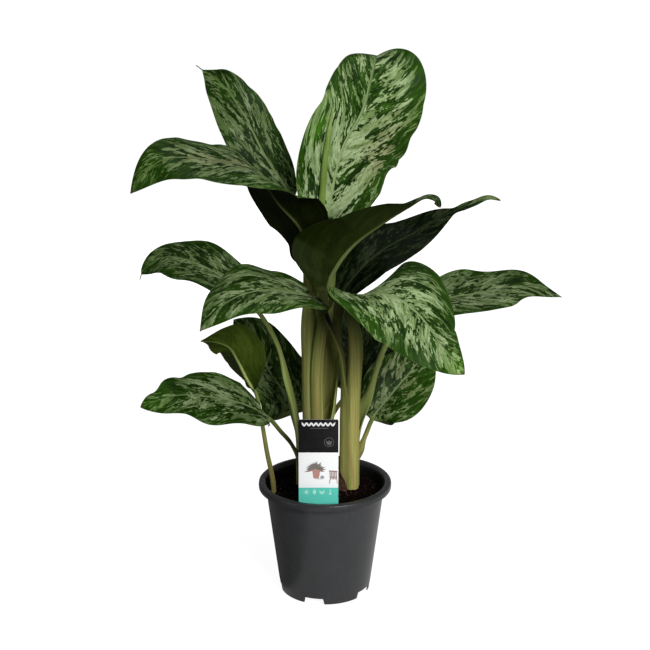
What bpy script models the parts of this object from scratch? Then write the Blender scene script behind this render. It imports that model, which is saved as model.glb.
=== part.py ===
"""Chinese evergreen (Aglaonema) in a round nursery pot.

A tapered plastic pot with a flanged rim holds a plug of potting soil.  Two thin canes and
one young side shoot stand in the soil.  Every leaf is one solid: a petiole that starts
beside its cane and carries the blade.  A plastic plant label is pushed into the soil at
the front.

Metres, +Z up, -Y towards the front.  The origin is on the ground under the pot's centre.
"""

from math import cos, pi, radians, sin

import bpy
import numpy as np

OBJECT_NAME = "potted_chinese_evergreen"
TOUCH_GAP = 0.0003              # between two solids that rest on or in each other
CUT_MARGIN = 0.002              # how far a cutter reaches past what it cuts

# Pot
POT_HEIGHT = 0.148
RIM_RADIUS = 0.085
WALL_TOP_RADIUS = 0.0765        # outside of the wall just under the rim
FOOT_RADIUS = 0.058
WALL = 0.0013
FLOOR = 0.0016
FLOOR_RISE = 0.0095             # the floor is raised by this round its centre, inside the foot
CENTRE_FOOT = 0.026             # the floor's flat centre, which rests on the ground
CENTRE_FOOT_SLOPE = 0.004       # across which the floor climbs from its centre
DRAIN_RADIUS = 0.004            # drain holes through the raised floor
DRAIN_PLACE = 0.044             # from the axis
FLOOR_EDGE = 0.001              # the underside's slope starts this far outside the upper one
RIM_DROP = 0.010                # height of the rim's hanging lip
RIM_THICKNESS = 0.0016
RIM_EDGE = 0.0008               # rounding of the rim's outer edge
FOOT_EDGE = 0.0004              # chamfer between the wall and the underside
NOTCH_COUNT = 5                 # drain slots round the foot
NOTCH_FIRST_ANGLE = -104.0      # degrees from +X
NOTCH_WIDTH = 0.025
NOTCH_HEIGHT = 0.0080
NOTCH_DEPTH = 0.011
NOTCH_ROUNDING = 0.003
TURN_STEPS = 60

# Soil
SOIL_TOP = 0.135
ROOTING_DEPTH = 0.020           # how far canes and stalks stand in the soil

# Label
LABEL_CENTRE_X = -0.008
LABEL_Y = -0.0635
LABEL_WIDTH = 0.050
LABEL_THICKNESS = 0.0008
LABEL_TOP = 0.256
LABEL_SHOULDER = 0.128          # below this the label narrows to its stake
LABEL_TIP = 0.080
LABEL_CORNER = 0.0015
STAKE_TIP_WIDTH = 0.008

# Shoots: axis on the ground plan, cane radius and top, radii of the two petiole rings
SHOOTS = {
    "main": dict(axis=(-0.011, 0.012), cane=0.0090, top=0.200, inner=0.0142, outer=0.0232),
    "right": dict(axis=(0.031, 0.008), cane=0.0055, top=0.180, inner=0.0102, outer=0.0190),
}

NEW_LEAF_RADIUS = 0.0030

# Dry sheaths: what is left of the shoots' oldest petioles
DRY_SHEATHS = {
    "dry_sheath_main": dict(shoot="main", angle=262, height=0.035),
    "dry_sheath_right": dict(shoot="right", angle=-120, height=0.028),
}
DRY_HALF_WIDTH = 0.0066
DRY_THICKNESS = 0.0008
DRY_LEAN = 0.003                # how far the tip leans off the shoot
DRY_ROWS = 7
DRY_COLUMNS = 7

# Leaf sections
# Petioles of each ring: half-width of the stalk at foot and blade, half-width of the sheath
# at its foot, degrees that each half of the sheath bends round the cane, the share of the
# petiole along which the sheath narrows, and 0 where there is no sheath.
PETIOLES = {
    "inner": dict(stalk=(0.0044, 0.0034), foot=0.0070, wrap=33.0, end=0.85, sheathed=1.0),
    "outer": dict(stalk=(0.0031, 0.0028), foot=0.0052, wrap=45.0, end=0.55, sheathed=1.0),
    "bare": dict(stalk=(0.0031, 0.0028), foot=0.0031, wrap=0.0, end=1.0, sheathed=0.0),
}
SHEATH_HOLD = 1.6               # above 1, a sheath keeps its width further up
SHEATH_DROP = 0.6               # how far a sheath's section sits off the cane's side
STALK_DOME = 80.0               # degrees that each half of a stalk's upper side bends down
BLADE_THICKNESS = 0.0010
MIDRIB_DEPTH = 0.0024           # below the blade at its base
MIDRIB_TIP_DEPTH = 0.0004
MIDRIB_HALF_WIDTH = 0.0026
TIP_HALF_WIDTH = 0.0008
OPENING = 0.10                  # share of the blade along which the stalk opens flat
WAVE_ONSET = 2.2                # above 1, waves stay near the margin
FOOT_FACING = 0.3               # upward part of the direction a petiole's foot faces
ROUND = 0.92                    # a stalk's depth over its width
PETIOLE_ROWS = 8
BLADE_ROWS = 18
HALF_COLUMNS = 4
COLUMN_SPREAD = 1.6             # above 1, columns crowd towards the midrib
SPINE_SAMPLES = 400


def pose(shoot, ring, angle, rise, petiole, blade, face, width, fold, curl, **more):
    """How one leaf grows.

    ring, angle: where its petiole starts round the shoot's cane, degrees from +X.
    rise: the height up to which the petiole stays parallel to the cane.
    petiole, blade: the spine's further points; the blade's first one is its base.
    face: where the upper surface points (azimuth from the front, elevation), evenly
    spaced from the blade's base to its tip.
    fold, curl: degrees that each half rises from the midrib, and bends down towards its
    margin, evenly spaced along the blade.
    form: exponents of the outline at the base and at the tip.
    wave: height, count and phase of the waves along the margins.
    lean: how much wider the half on the spine's right is than the mean.
    tail: the share along the blade where it narrows to a drip tip, and that tip's half-width.
    """
    leaf = dict(shoot=shoot, ring=ring, angle=angle, rise=rise, petiole=petiole,
                blade=blade, face=face, width=width, fold=fold, curl=curl,
                form=(0.65, 1.1), wave=(0.003, 2.5, 0.2), lean=0.0, tail=(1.0, 0.0))
    leaf.update(more)
    return leaf


LEAVES = {
    "leaf_crown": pose(
        "main", "inner", 75, 0.300,
        petiole=[(0.000, 0.041, 0.430)],
        blade=[(0.002, 0.045, 0.457), (0.009, 0.045, 0.515), (0.023, 0.050, 0.570),
               (0.046, 0.063, 0.611), (0.056, 0.089, 0.643), (0.063, 0.120, 0.666),
               (0.067, 0.162, 0.668)],
        face=[(38, 23), (23, 18), (36, 3), (47, 61), (-34, 72)],
        width=0.1526, fold=[0, 0, 5, 0, 20], curl=[1, 29, 28, 24, 1],
        form=(0.52, 0.60), wave=(0.003, 2.5, 0.6), lean=0.28),
    "leaf_upper_left": pose(
        "main", "inner", 145, 0.300,
        petiole=[(-0.026, 0.056, 0.455)],
        blade=[(-0.041, 0.069, 0.498), (-0.077, 0.088, 0.553), (-0.104, 0.105, 0.603),
               (-0.130, 0.120, 0.636), (-0.156, 0.154, 0.649)],
        face=[(-10, 25), (-14, 46), (10, 45), (-27, 31), (-1, 35)],
        width=0.072, fold=[14, 3, 0, 14, 6], curl=[8, 12, 14, 12, 6],
        form=(0.73, 0.94), lean=-0.08),
    "leaf_arching_left": pose(
        "main", "inner", 214, 0.300,
        petiole=[(-0.021, 0.018, 0.370)],
        blade=[(-0.018, 0.027, 0.419), (-0.029, 0.024, 0.468), (-0.056, 0.009, 0.506),
               (-0.084, -0.021, 0.552), (-0.141, -0.055, 0.572), (-0.190, -0.081, 0.573),
               (-0.223, -0.086, 0.537)],
        face=[(161, 33), (166, 36), (70, 74), (-28, 64), (-17, 43), (-20, 24)],
        width=0.114, fold=[14, 16, 8, 9, 0], curl=[11, 9, 17, 20, 19],
        form=(0.70, 0.90), lean=-0.04),
    "leaf_upright_right": pose(
        "main", "inner", -70, 0.300,
        petiole=[(0.000, 0.004, 0.366)],
        blade=[(0.000, 0.006, 0.395), (0.014, 0.004, 0.427), (0.034, 0.005, 0.454),
               (0.068, 0.008, 0.480), (0.104, 0.024, 0.499), (0.124, 0.034, 0.5075),
               (0.138, 0.040, 0.5045), (0.143, 0.040, 0.494)],
        face=[(-125, 8), (-154, 37), (-115, 55), (-114, 58), (-85, 76), (0, 25)],
        width=0.1027, fold=[39, 44, 46, 34, 9], curl=[14, 13, 29, 20, 10],
        form=(0.46, 1.10), wave=(0.002, 2.5, 0.2), lean=0.25, tail=(0.83, 0.0055)),
    "leaf_slender_right": pose(
        "main", "inner", 4, 0.280,
        petiole=[(0.013, 0.027, 0.335)],
        blade=[(0.017, 0.031, 0.373), (0.054, 0.049, 0.422), (0.121, 0.089, 0.455),
               (0.158, 0.094, 0.475), (0.224, 0.098, 0.492)],
        face=[(-27, 28), (-23, 39), (-13, 49), (-22, 39), (0, 55)],
        width=0.0711, fold=[11, 22, 5, 10, 5], curl=[10, 10, 13, 8, 5],
        form=(0.69, 0.89), tail=(0.74, 0.0045)),
    "leaf_front_right": pose(
        "right", "inner", -56, 0.240,
        petiole=[(0.0365, -0.009, 0.338)],
        blade=[(0.026, -0.032, 0.390), (0.042, -0.062, 0.410), (0.083, -0.089, 0.414),
               (0.105, -0.101, 0.401), (0.136, -0.123, 0.365), (0.162, -0.126, 0.332)],
        face=[(90, 70), (43, 69), (17, 43), (39, 41), (20, 40)],
        width=0.1335, fold=[13, 8, 7, -8, -2], curl=[7, 1, 28, 22, 19],
        form=(0.53, 0.84), wave=(0.004, 2.5, 0.2), lean=-0.03),
    "leaf_far_right": pose(
        "right", "inner", 32, 0.200,
        petiole=[(0.060, 0.035, 0.263), (0.078, 0.052, 0.312)],
        blade=[(0.106, 0.062, 0.348), (0.155, 0.075, 0.367), (0.200, 0.085, 0.372),
               (0.253, 0.095, 0.379), (0.310, 0.105, 0.361)],
        face=[(0, 50), (10, 55), (5, 50), (0, 50), (0, 60)],
        width=0.074, fold=[20, 15, 10, 5, 0], curl=[5, 8, 12, 15, 10],
        form=(0.65, 1.00), wave=(0.005, 2.5, 0.2)),
    "leaf_far_left": pose(
        "main", "outer", 172, 0.190,
        petiole=[(-0.046, 0.030, 0.258), (-0.063, 0.056, 0.316)],
        blade=[(-0.097, 0.088, 0.359), (-0.131, 0.108, 0.385), (-0.170, 0.128, 0.401),
               (-0.213, 0.148, 0.404), (-0.250, 0.160, 0.374)],
        face=[(-20, 60), (-10, 65), (-10, 60), (0, 55), (0, 60)],
        width=0.076, fold=[20, 15, 10, 5, 0], curl=[5, 8, 12, 15, 10],
        form=(0.65, 0.75)),
    "leaf_front_left": pose(
        "right", "inner", 217, 0.220,
        petiole=[(0.019, -0.008, 0.324), (0.006, -0.020, 0.361)],
        blade=[(-0.006, -0.032, 0.392), (-0.039, -0.062, 0.412), (-0.078, -0.095, 0.424),
               (-0.113, -0.125, 0.418), (-0.142, -0.148, 0.391)],
        face=[(-20, 60), (-20, 65), (-22, 60), (-28, 50), (-35, 45)],
        width=0.112, fold=[16, 12, 10, 5, 0], curl=[5, 8, 14, 18, 15],
        form=(0.60, 1.00)),
    "leaf_low_left": pose(
        "main", "outer", 212, 0.155,
        petiole=[(-0.040, -0.012, 0.198), (-0.055, -0.024, 0.222)],
        blade=[(-0.068, -0.036, 0.243), (-0.098, -0.062, 0.272), (-0.136, -0.083, 0.289),
               (-0.173, -0.102, 0.298), (-0.217, -0.116, 0.288)],
        face=[(-9, 70), (-4, 59), (-11, 57), (-24, 47), (-10, 39)],
        width=0.082, fold=[8, 13, 2, 5, 5], curl=[9, 10, 13, 13, 15],
        form=(0.64, 0.80), wave=(0.004, 2.5, 0.2)),
    "leaf_side_shoot": pose(
        None, (-0.066, -0.008), 170, 0.140,
        petiole=[(-0.074, -0.008, 0.191), (-0.080, -0.009, 0.232)],
        blade=[(-0.088, -0.012, 0.273), (-0.096, -0.017, 0.289), (-0.110, -0.024, 0.317),
               (-0.117, -0.032, 0.335), (-0.129, -0.051, 0.346), (-0.153, -0.059, 0.352)],
        face=[(138, 25), (152, 46), (189, 17), (158, 52)],
        width=0.0798, fold=[13, 27, 18, 25, 0], curl=[10, 19, 3, 8, 1],
        form=(0.95, 0.91), wave=(0.002, 2.5, 0.2), lean=0.06),
    "leaf_back_left": pose(
        "main", "outer", 136, 0.160,
        petiole=[(-0.033, 0.050, 0.182), (-0.038, 0.056, 0.197)],
        blade=[(-0.043, 0.062, 0.213), (-0.050, 0.077, 0.231), (-0.072, 0.084, 0.264),
               (-0.093, 0.117, 0.302), (-0.123, 0.146, 0.318)],
        face=[(-20, 43), (3, 21), (6, 26), (-10, 27)],
        width=0.1136, fold=[0, 2, 12, 9, 0], curl=[11, 12, 14, 5, 4],
        form=(0.40, 0.86), lean=-0.19),
    "leaf_low_right": pose(
        "right", "outer", 75, 0.155,
        petiole=[(0.044, 0.032, 0.173), (0.053, 0.040, 0.194)],
        blade=[(0.061, 0.046, 0.212), (0.085, 0.060, 0.240), (0.109, 0.076, 0.264),
               (0.130, 0.094, 0.283), (0.153, 0.116, 0.292)],
        face=[(10, 40), (5, 35), (5, 35), (5, 35)],
        width=0.088, fold=[20, 15, 10, 5, 0], curl=[5, 5, 5, 5, 5],
        form=(0.60, 1.10)),
    "leaf_back_low": pose(
        "main", "outer", 62, 0.170,
        petiole=[(0.003, 0.055, 0.201), (0.016, 0.074, 0.219)],
        blade=[(0.030, 0.086, 0.236), (0.034, 0.098, 0.266), (0.036, 0.114, 0.300),
               (0.041, 0.142, 0.327), (0.047, 0.182, 0.342)],
        face=[(10, 40), (10, 40), (10, 40), (10, 50)],
        width=0.118, fold=[20, 15, 10, 5, 0], curl=[5, 5, 5, 5, 5]),
    "leaf_back_high": pose(
        "main", "outer", 99, 0.240,
        petiole=[(-0.010, 0.044, 0.370)],
        blade=[(-0.006, 0.064, 0.425), (0.000, 0.105, 0.462), (0.008, 0.155, 0.470),
               (0.014, 0.205, 0.448), (0.018, 0.245, 0.405)],
        face=[(0, 60), (0, 80), (180, 75), (180, 60)],
        width=0.095, fold=[20, 15, 10, 5, 0], curl=[5, 5, 5, 5, 5]),
}


# ---------------------------------------------------------------- scene and materials

def clear_scene():
    for item in list(bpy.data.objects):
        bpy.data.objects.remove(item)


def new_collection(name):
    collection = bpy.data.collections.new(name)
    bpy.context.scene.collection.children.link(collection)
    return collection


def material(name, colour, roughness):
    made = bpy.data.materials.new(name)
    made.use_nodes = True
    shader = made.node_tree.nodes["Principled BSDF"]
    shader.inputs["Base Color"].default_value = (*colour, 1.0)
    shader.inputs["Roughness"].default_value = roughness
    shader.inputs["Metallic"].default_value = 0.0
    return made


def add_object(name, data, collection, finish=None):
    item = bpy.data.objects.new(name, data)
    collection.objects.link(item)
    if finish:
        item.data.materials.append(finish)
    return item


def cut(target, cutter):
    """Take the cutter's shape out of the target."""
    cutter.hide_render = True
    cutter.display_type = "WIRE"
    modifier = target.modifiers.new("cut_" + cutter.name, "BOOLEAN")
    modifier.operation = "DIFFERENCE"
    modifier.solver = "EXACT"
    modifier.object = cutter


def turned(name, profile, collection, finish):
    """A solid of revolution round Z; the profile starts and ends on the axis."""
    mesh = bpy.data.meshes.new(name)
    edges = [(i, i + 1) for i in range(len(profile) - 1)]
    mesh.from_pydata([(radius, 0.0, height) for radius, height in profile], edges, [])
    item = add_object(name, mesh, collection, finish)
    screw = item.modifiers.new("turn", "SCREW")
    screw.steps = TURN_STEPS
    screw.render_steps = TURN_STEPS
    screw.use_merge_vertices = True
    screw.merge_threshold = 0.00001
    return item


def cylinder(name, radius, low, high, place, collection, finish=None, sides=16):
    bpy.ops.mesh.primitive_cylinder_add(
        vertices=sides, radius=radius, depth=high - low,
        location=(place[0], place[1], (low + high) / 2))
    return adopt(name, collection, finish)


def box(name, size, centre, collection, finish=None):
    bpy.ops.mesh.primitive_cube_add(size=1.0, location=centre)
    item = adopt(name, collection, finish)
    item.data.transform(((size[0], 0, 0, 0), (0, size[1], 0, 0), (0, 0, size[2], 0),
                         (0, 0, 0, 1)))
    return item


def adopt(name, collection, finish):
    """Name the object that an operator has just made, and move it to its collection."""
    item = bpy.context.active_object
    item.name = name
    item.data.name = name
    for home in list(item.users_collection):
        home.objects.unlink(item)
    collection.objects.link(item)
    if finish:
        item.data.materials.append(finish)
    return item


# ---------------------------------------------------------------- pot, soil, label

def wall_radius(height):
    """Outside of the tapered wall."""
    wall_top = POT_HEIGHT - RIM_THICKNESS
    return FOOT_RADIUS + (WALL_TOP_RADIUS - FOOT_RADIUS) * height / wall_top


def make_pot(parts, cutters, finish):
    shelf = POT_HEIGHT - RIM_THICKNESS
    lip_foot = POT_HEIGHT - RIM_DROP
    floor_top = FLOOR_RISE + FLOOR
    profile = [
        (0.0, FLOOR),
        (CENTRE_FOOT, FLOOR),
        (CENTRE_FOOT + CENTRE_FOOT_SLOPE, floor_top),
        (wall_radius(floor_top) - WALL, floor_top),
        (WALL_TOP_RADIUS - WALL, shelf - RIM_EDGE),
        (WALL_TOP_RADIUS - WALL + RIM_EDGE, POT_HEIGHT),
        (RIM_RADIUS - 2 * RIM_EDGE, POT_HEIGHT),
        (RIM_RADIUS - 0.5 * RIM_EDGE, POT_HEIGHT - 0.5 * RIM_EDGE),
        (RIM_RADIUS, POT_HEIGHT - 2 * RIM_EDGE),
        (RIM_RADIUS, lip_foot),
        (RIM_RADIUS - RIM_THICKNESS, lip_foot),
        (RIM_RADIUS - RIM_THICKNESS, shelf),
        (WALL_TOP_RADIUS, shelf),
        (wall_radius(FOOT_EDGE), FOOT_EDGE),
        (FOOT_RADIUS - FOOT_EDGE, 0.0),
        (FOOT_RADIUS - WALL, 0.0),
        (wall_radius(FLOOR_RISE) - WALL, FLOOR_RISE),
        (CENTRE_FOOT + CENTRE_FOOT_SLOPE + FLOOR_EDGE, FLOOR_RISE),
        (CENTRE_FOOT + FLOOR_EDGE, 0.0),
        (0.0, 0.0),
    ]
    pot = turned("pot", profile, parts, finish)
    for number in range(NOTCH_COUNT):
        angle = radians(NOTCH_FIRST_ANGLE + 360.0 * number / NOTCH_COUNT)
        reach = FOOT_RADIUS + CUT_MARGIN - NOTCH_DEPTH / 2
        notch = box(f"notch_{number + 1}", (NOTCH_DEPTH, NOTCH_WIDTH, 2 * NOTCH_HEIGHT),
                    (reach * cos(angle), reach * sin(angle), 0.0), cutters)
        notch.rotation_euler = (0.0, 0.0, angle)
        rounding = notch.modifiers.new("round", "BEVEL")
        rounding.width = NOTCH_ROUNDING
        rounding.segments = 3
        cut(pot, notch)
        drain = cylinder(f"drain_hole_{number + 1}", DRAIN_RADIUS, FLOOR_RISE - CUT_MARGIN,
                         FLOOR_RISE + FLOOR + CUT_MARGIN,
                         (DRAIN_PLACE * cos(angle), DRAIN_PLACE * sin(angle)), cutters)
        cut(pot, drain)


def make_soil(parts, cutters, finish):
    """The soil plug, with a hole for each cane and stalk and a slot for the label."""
    low = FLOOR + TOUCH_GAP
    raised = low + FLOOR_RISE
    inset = WALL + 2 * TOUCH_GAP
    profile = [
        (0.0, SOIL_TOP),
        (wall_radius(SOIL_TOP) - inset, SOIL_TOP),
        (wall_radius(raised) - inset, raised),
        (CENTRE_FOOT + CENTRE_FOOT_SLOPE - TOUCH_GAP, raised),
        (CENTRE_FOOT - TOUCH_GAP, low),
        (0.0, low),
    ]
    soil = turned("soil", profile, parts, finish)
    bottom = SOIL_TOP - ROOTING_DEPTH - TOUCH_GAP
    for name, shoot in SHOOTS.items():
        hole = cylinder("hole_" + name, shoot["cane"] + TOUCH_GAP, bottom,
                        SOIL_TOP + CUT_MARGIN, shoot["axis"], cutters)
        cut(soil, hole)
    place = LEAVES["leaf_side_shoot"]["ring"]
    hole = cylinder("hole_side_shoot", PETIOLES["bare"]["foot"] + 2 * TOUCH_GAP, bottom,
                    SOIL_TOP + CUT_MARGIN, place, cutters)
    cut(soil, hole)
    slot_low = LABEL_TIP - TOUCH_GAP
    slot_high = SOIL_TOP + CUT_MARGIN
    slot = box("label_slot", (LABEL_WIDTH + 2 * TOUCH_GAP, LABEL_THICKNESS + 2 * TOUCH_GAP,
                              slot_high - slot_low),
               (LABEL_CENTRE_X, LABEL_Y, (slot_low + slot_high) / 2), cutters)
    cut(soil, slot)


def make_label(parts, finish):
    """A flat outline with rounded top corners that narrows to a stake."""
    half = LABEL_WIDTH / 2
    corner = LABEL_CORNER
    outline = []
    for side in (1, -1):
        for step in range(4):
            turn = radians(30.0 * step) if side > 0 else radians(90.0 - 30.0 * step)
            outline.append((side * (half - corner + corner * cos(turn)),
                            LABEL_TOP - corner + corner * sin(turn)))
    outline += [(-half, LABEL_SHOULDER), (-STAKE_TIP_WIDTH / 2, LABEL_TIP),
                (STAKE_TIP_WIDTH / 2, LABEL_TIP), (half, LABEL_SHOULDER)]
    curve = bpy.data.curves.new("plant_label", "CURVE")
    curve.dimensions = "2D"
    curve.fill_mode = "BOTH"
    curve.extrude = LABEL_THICKNESS / 2
    spline = curve.splines.new("POLY")
    spline.points.add(len(outline) - 1)
    for point, (across, height) in zip(spline.points, outline):
        point.co = (across, height, 0.0, 1.0)
    spline.use_cyclic_u = True
    label = add_object("plant_label", curve, parts, finish)
    label.location = (LABEL_CENTRE_X, LABEL_Y, 0.0)
    label.rotation_euler = (pi / 2, 0.0, 0.0)


# ---------------------------------------------------------------- leaves

def unit(vectors):
    return vectors / np.linalg.norm(vectors, axis=-1, keepdims=True)


def ease(value):
    value = np.clip(value, 0.0, 1.0)
    return value * value * (3.0 - 2.0 * value)


def along(values, share):
    """Evenly spaced values read at shares from 0 to 1."""
    return np.interp(share, np.linspace(0.0, 1.0, len(values)), values)


def direction(azimuth, elevation):
    azimuth, elevation = radians(azimuth), radians(elevation)
    return (sin(azimuth) * cos(elevation), -cos(azimuth) * cos(elevation), sin(elevation))


def smooth_curve(points):
    """Dense points on a cubic through the given ones, and the arc length at each given one."""
    points = np.asarray(points, float)
    knots = np.concatenate([[0.0], np.cumsum(np.linalg.norm(np.diff(points, axis=0), axis=1))])
    spans = np.diff(knots)[:, None]
    slopes = np.diff(points, axis=0) / spans
    tangents = np.empty_like(points)
    tangents[1:-1] = (slopes[:-1] * spans[1:] + slopes[1:] * spans[:-1]) / (spans[:-1] + spans[1:])
    tangents[0] = 1.5 * slopes[0] - 0.5 * tangents[1]
    tangents[-1] = 1.5 * slopes[-1] - 0.5 * tangents[-2]
    sample = np.linspace(0.0, knots[-1], SPINE_SAMPLES)
    piece = np.clip(np.searchsorted(knots, sample, side="right") - 1, 0, len(spans) - 1)
    span = spans[piece]
    t = (sample - knots[piece])[:, None] / span
    dense = ((2 * t**3 - 3 * t**2 + 1) * points[piece]
             + (t**3 - 2 * t**2 + t) * span * tangents[piece]
             + (3 * t**2 - 2 * t**3) * points[piece + 1]
             + (t**3 - t**2) * span * tangents[piece + 1])
    arc = np.concatenate([[0.0], np.cumsum(np.linalg.norm(np.diff(dense, axis=0), axis=1))])
    return dense, arc, np.interp(knots, sample, arc)


def petiole_start(leaf):
    """The petiole's first points: up its ring position beside the cane."""
    if leaf["shoot"] is None:
        x, y = leaf["ring"]
        low = SOIL_TOP - ROOTING_DEPTH
    else:
        shoot = SHOOTS[leaf["shoot"]]
        radius = shoot[leaf["ring"]]
        x = shoot["axis"][0] + radius * cos(radians(leaf["angle"]))
        y = shoot["axis"][1] + radius * sin(radians(leaf["angle"]))
        low = SOIL_TOP + TOUCH_GAP
    straight = leaf["rise"] - low
    return [(x, y, low), (x, y, low + 0.6 * straight), (x, y, leaf["rise"])]


def leaf_frame(leaf):
    """The spine's rows: point, across and upper-side directions, and share of each part."""
    stem = petiole_start(leaf) + leaf["petiole"]
    dense, arc, knots = smooth_curve(stem + leaf["blade"])
    base, end = knots[len(stem)], knots[-1]
    place = np.concatenate([np.linspace(0.0, base, PETIOLE_ROWS, endpoint=False),
                            np.linspace(base, end, BLADE_ROWS)])
    spine = np.stack([np.interp(place, arc, dense[:, i]) for i in range(3)], -1)
    slope = np.stack([np.interp(place, arc, np.gradient(dense[:, i], arc)) for i in range(3)], -1)
    forward = unit(slope)

    # The upper side faces the cane at the foot, then turns to the blade's own directions.
    inward = radians(leaf["angle"])
    faces = np.array([(-cos(inward), -sin(inward), FOOT_FACING)]
                     + [direction(*pair) for pair in leaf["face"]])
    stations = np.concatenate([[0.0], np.linspace(base, end, len(leaf["face"]))])
    wanted = np.stack([np.interp(place, stations, faces[:, i]) for i in range(3)], -1)
    normal = unit(wanted - (wanted * forward).sum(-1, keepdims=True) * forward)
    across = np.cross(forward, normal)
    blade = np.clip((place - base) / (end - base), 0.0, 1.0)
    return spine, across, normal, place / base, blade


def leaf_widths(leaf, petiole, stalk, sheath, blade, opened):
    """Half-width of each row, measured along its section."""
    first, last = leaf["form"]
    widest = first / (first + last)
    body = np.clip(blade / leaf["tail"][0], 0.0, 1.0)
    outline = (body / widest) ** first * ((1.0 - body) / (1.0 - widest)) ** last
    tail = ease(blade / leaf["tail"][0]) * (1.0 - blade**4) ** 0.5
    outline = np.hypot(outline, tail * 2.0 * leaf["tail"][1] / leaf["width"])
    neck = (stalk + (petiole["foot"] - stalk) * sheath) * np.clip(1.0 - 4.0 * blade, 0.0, 1.0)
    half_width = np.maximum(np.maximum(leaf["width"] / 2 * outline, neck), TIP_HALF_WIDTH)
    dome = radians(STALK_DOME)
    bent = (1.0 - opened) * (1.0 - sheath)
    return half_width * (1.0 + (dome / sin(dome) - 1.0) * bent)


def leaf_rings(leaf):
    """The upper and the lower skin of a leaf as two grids of points, rows by columns."""
    spine, across, normal, stalk_share, blade = leaf_frame(leaf)
    opened = ease(blade / OPENING)
    petiole = PETIOLES[leaf["ring"] if leaf["shoot"] else "bare"]
    stalk = along(petiole["stalk"], stalk_share)
    sheath = petiole["sheathed"] * ease(SHEATH_HOLD * (1.0 - stalk_share / petiole["end"]))
    half_width = leaf_widths(leaf, petiole, stalk, sheath, blade, opened)

    # Each half of a section is an arc: it rises by the fold and bends down by the curl.
    stalk_curl = radians(STALK_DOME) * (1.0 - sheath) - radians(petiole["wrap"]) * sheath
    fold = np.radians(along(leaf["fold"], blade)) * opened
    curl = np.radians(along(leaf["curl"], blade)) * opened + stalk_curl * (1.0 - opened) + 1e-4
    steps = np.linspace(-1.0, 1.0, 2 * HALF_COLUMNS + 1)
    column = np.sign(steps) * np.abs(steps) ** COLUMN_SPREAD
    side, reach = np.sign(column)[None, :], np.abs(column)[None, :]
    angle = fold[:, None] - curl[:, None] * reach
    size = half_width[:, None] * (1.0 + leaf["lean"] * side * opened[:, None]) / curl[:, None]
    x = size * side * (np.sin(fold)[:, None] - np.sin(angle))
    z = size * (np.cos(angle) - np.cos(fold)[:, None])

    height, count, phase = leaf["wave"]
    ripple = np.sin(2 * pi * count * blade[:, None] + phase + 1.7 * (side < 0))
    fade = opened * np.clip(6 * (1 - blade), 0, 1) * np.minimum(1, 2.6 * half_width / leaf["width"])
    z = z + height * ripple * reach**WAVE_ONSET * fade[:, None]

    # Below the upper skin: the blade's thickness, and the midrib or the stalk's round side.
    stalk_depth = 2 * stalk * ROUND - BLADE_THICKNESS
    rib_depth = np.where(blade > 0, along([MIDRIB_DEPTH, MIDRIB_TIP_DEPTH], blade),
                         stalk_depth * (1 - 0.4 * sheath))
    rib_depth += (stalk_depth - MIDRIB_DEPTH) * (blade > 0) * np.clip(1 - blade / 0.12, 0, 1)
    lift = (BLADE_THICKNESS + rib_depth) / 2 * (1.0 - opened) * (1.0 - SHEATH_DROP * sheath)
    z = z + lift[:, None]
    rib_width = np.where(blade > 0, along([MIDRIB_HALF_WIDTH, TIP_HALF_WIDTH], blade),
                         np.abs(x).max(axis=1))
    round_off = (0.5 + 0.7 * ease(blade / 0.15))[:, None]
    rib = rib_depth[:, None] * (1.0 - np.clip(np.abs(x) / rib_width[:, None], 0, 1) ** 2) ** round_off
    tilt = np.where(side == 0, 0.0, angle * opened[:, None])

    upper = spine[:, None] + x[..., None] * across[:, None] + z[..., None] * normal[:, None]
    down = (-side * np.sin(tilt))[..., None] * across[:, None] \
        + np.cos(tilt)[..., None] * normal[:, None]
    return upper, upper - (BLADE_THICKNESS + rib)[..., None] * down


def loft(name, upper, lower, parts, finish):
    """Close two grids of points into one solid: skins, margins and both ends."""
    rows, columns = upper.shape[:2]
    count = rows * columns
    top = np.arange(count).reshape(rows, columns)
    bottom = top + count
    faces = []
    for row in range(rows - 1):
        for col in range(columns - 1):
            faces.append((top[row, col], top[row, col + 1], top[row + 1, col + 1], top[row + 1, col]))
            faces.append((bottom[row, col], bottom[row + 1, col],
                          bottom[row + 1, col + 1], bottom[row, col + 1]))
        last = columns - 1
        faces.append((top[row, 0], top[row + 1, 0], bottom[row + 1, 0], bottom[row, 0]))
        faces.append((top[row, last], bottom[row, last], bottom[row + 1, last], top[row + 1, last]))
    for col in range(columns - 1):
        faces.append((top[0, col], bottom[0, col], bottom[0, col + 1], top[0, col + 1]))
        faces.append((top[-1, col], top[-1, col + 1], bottom[-1, col + 1], bottom[-1, col]))
    mesh = bpy.data.meshes.new(name)
    points = np.concatenate([upper.reshape(-1, 3), lower.reshape(-1, 3)])
    mesh.from_pydata(points.tolist(), [], [tuple(int(i) for i in face) for face in faces])
    mesh.shade_smooth()
    mesh.set_sharp_from_angle(angle=radians(50.0))
    add_object(name, mesh, parts, finish)


def make_leaves(parts, finish):
    for name, leaf in LEAVES.items():
        upper, lower = leaf_rings(leaf)
        loft(name, upper, lower, parts, finish)


# ---------------------------------------------------------------- stems

def make_canes(parts, finish):
    for name, shoot in SHOOTS.items():
        cylinder("cane_" + name, shoot["cane"], SOIL_TOP - ROOTING_DEPTH, shoot["top"],
                 shoot["axis"], parts, finish)


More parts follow.
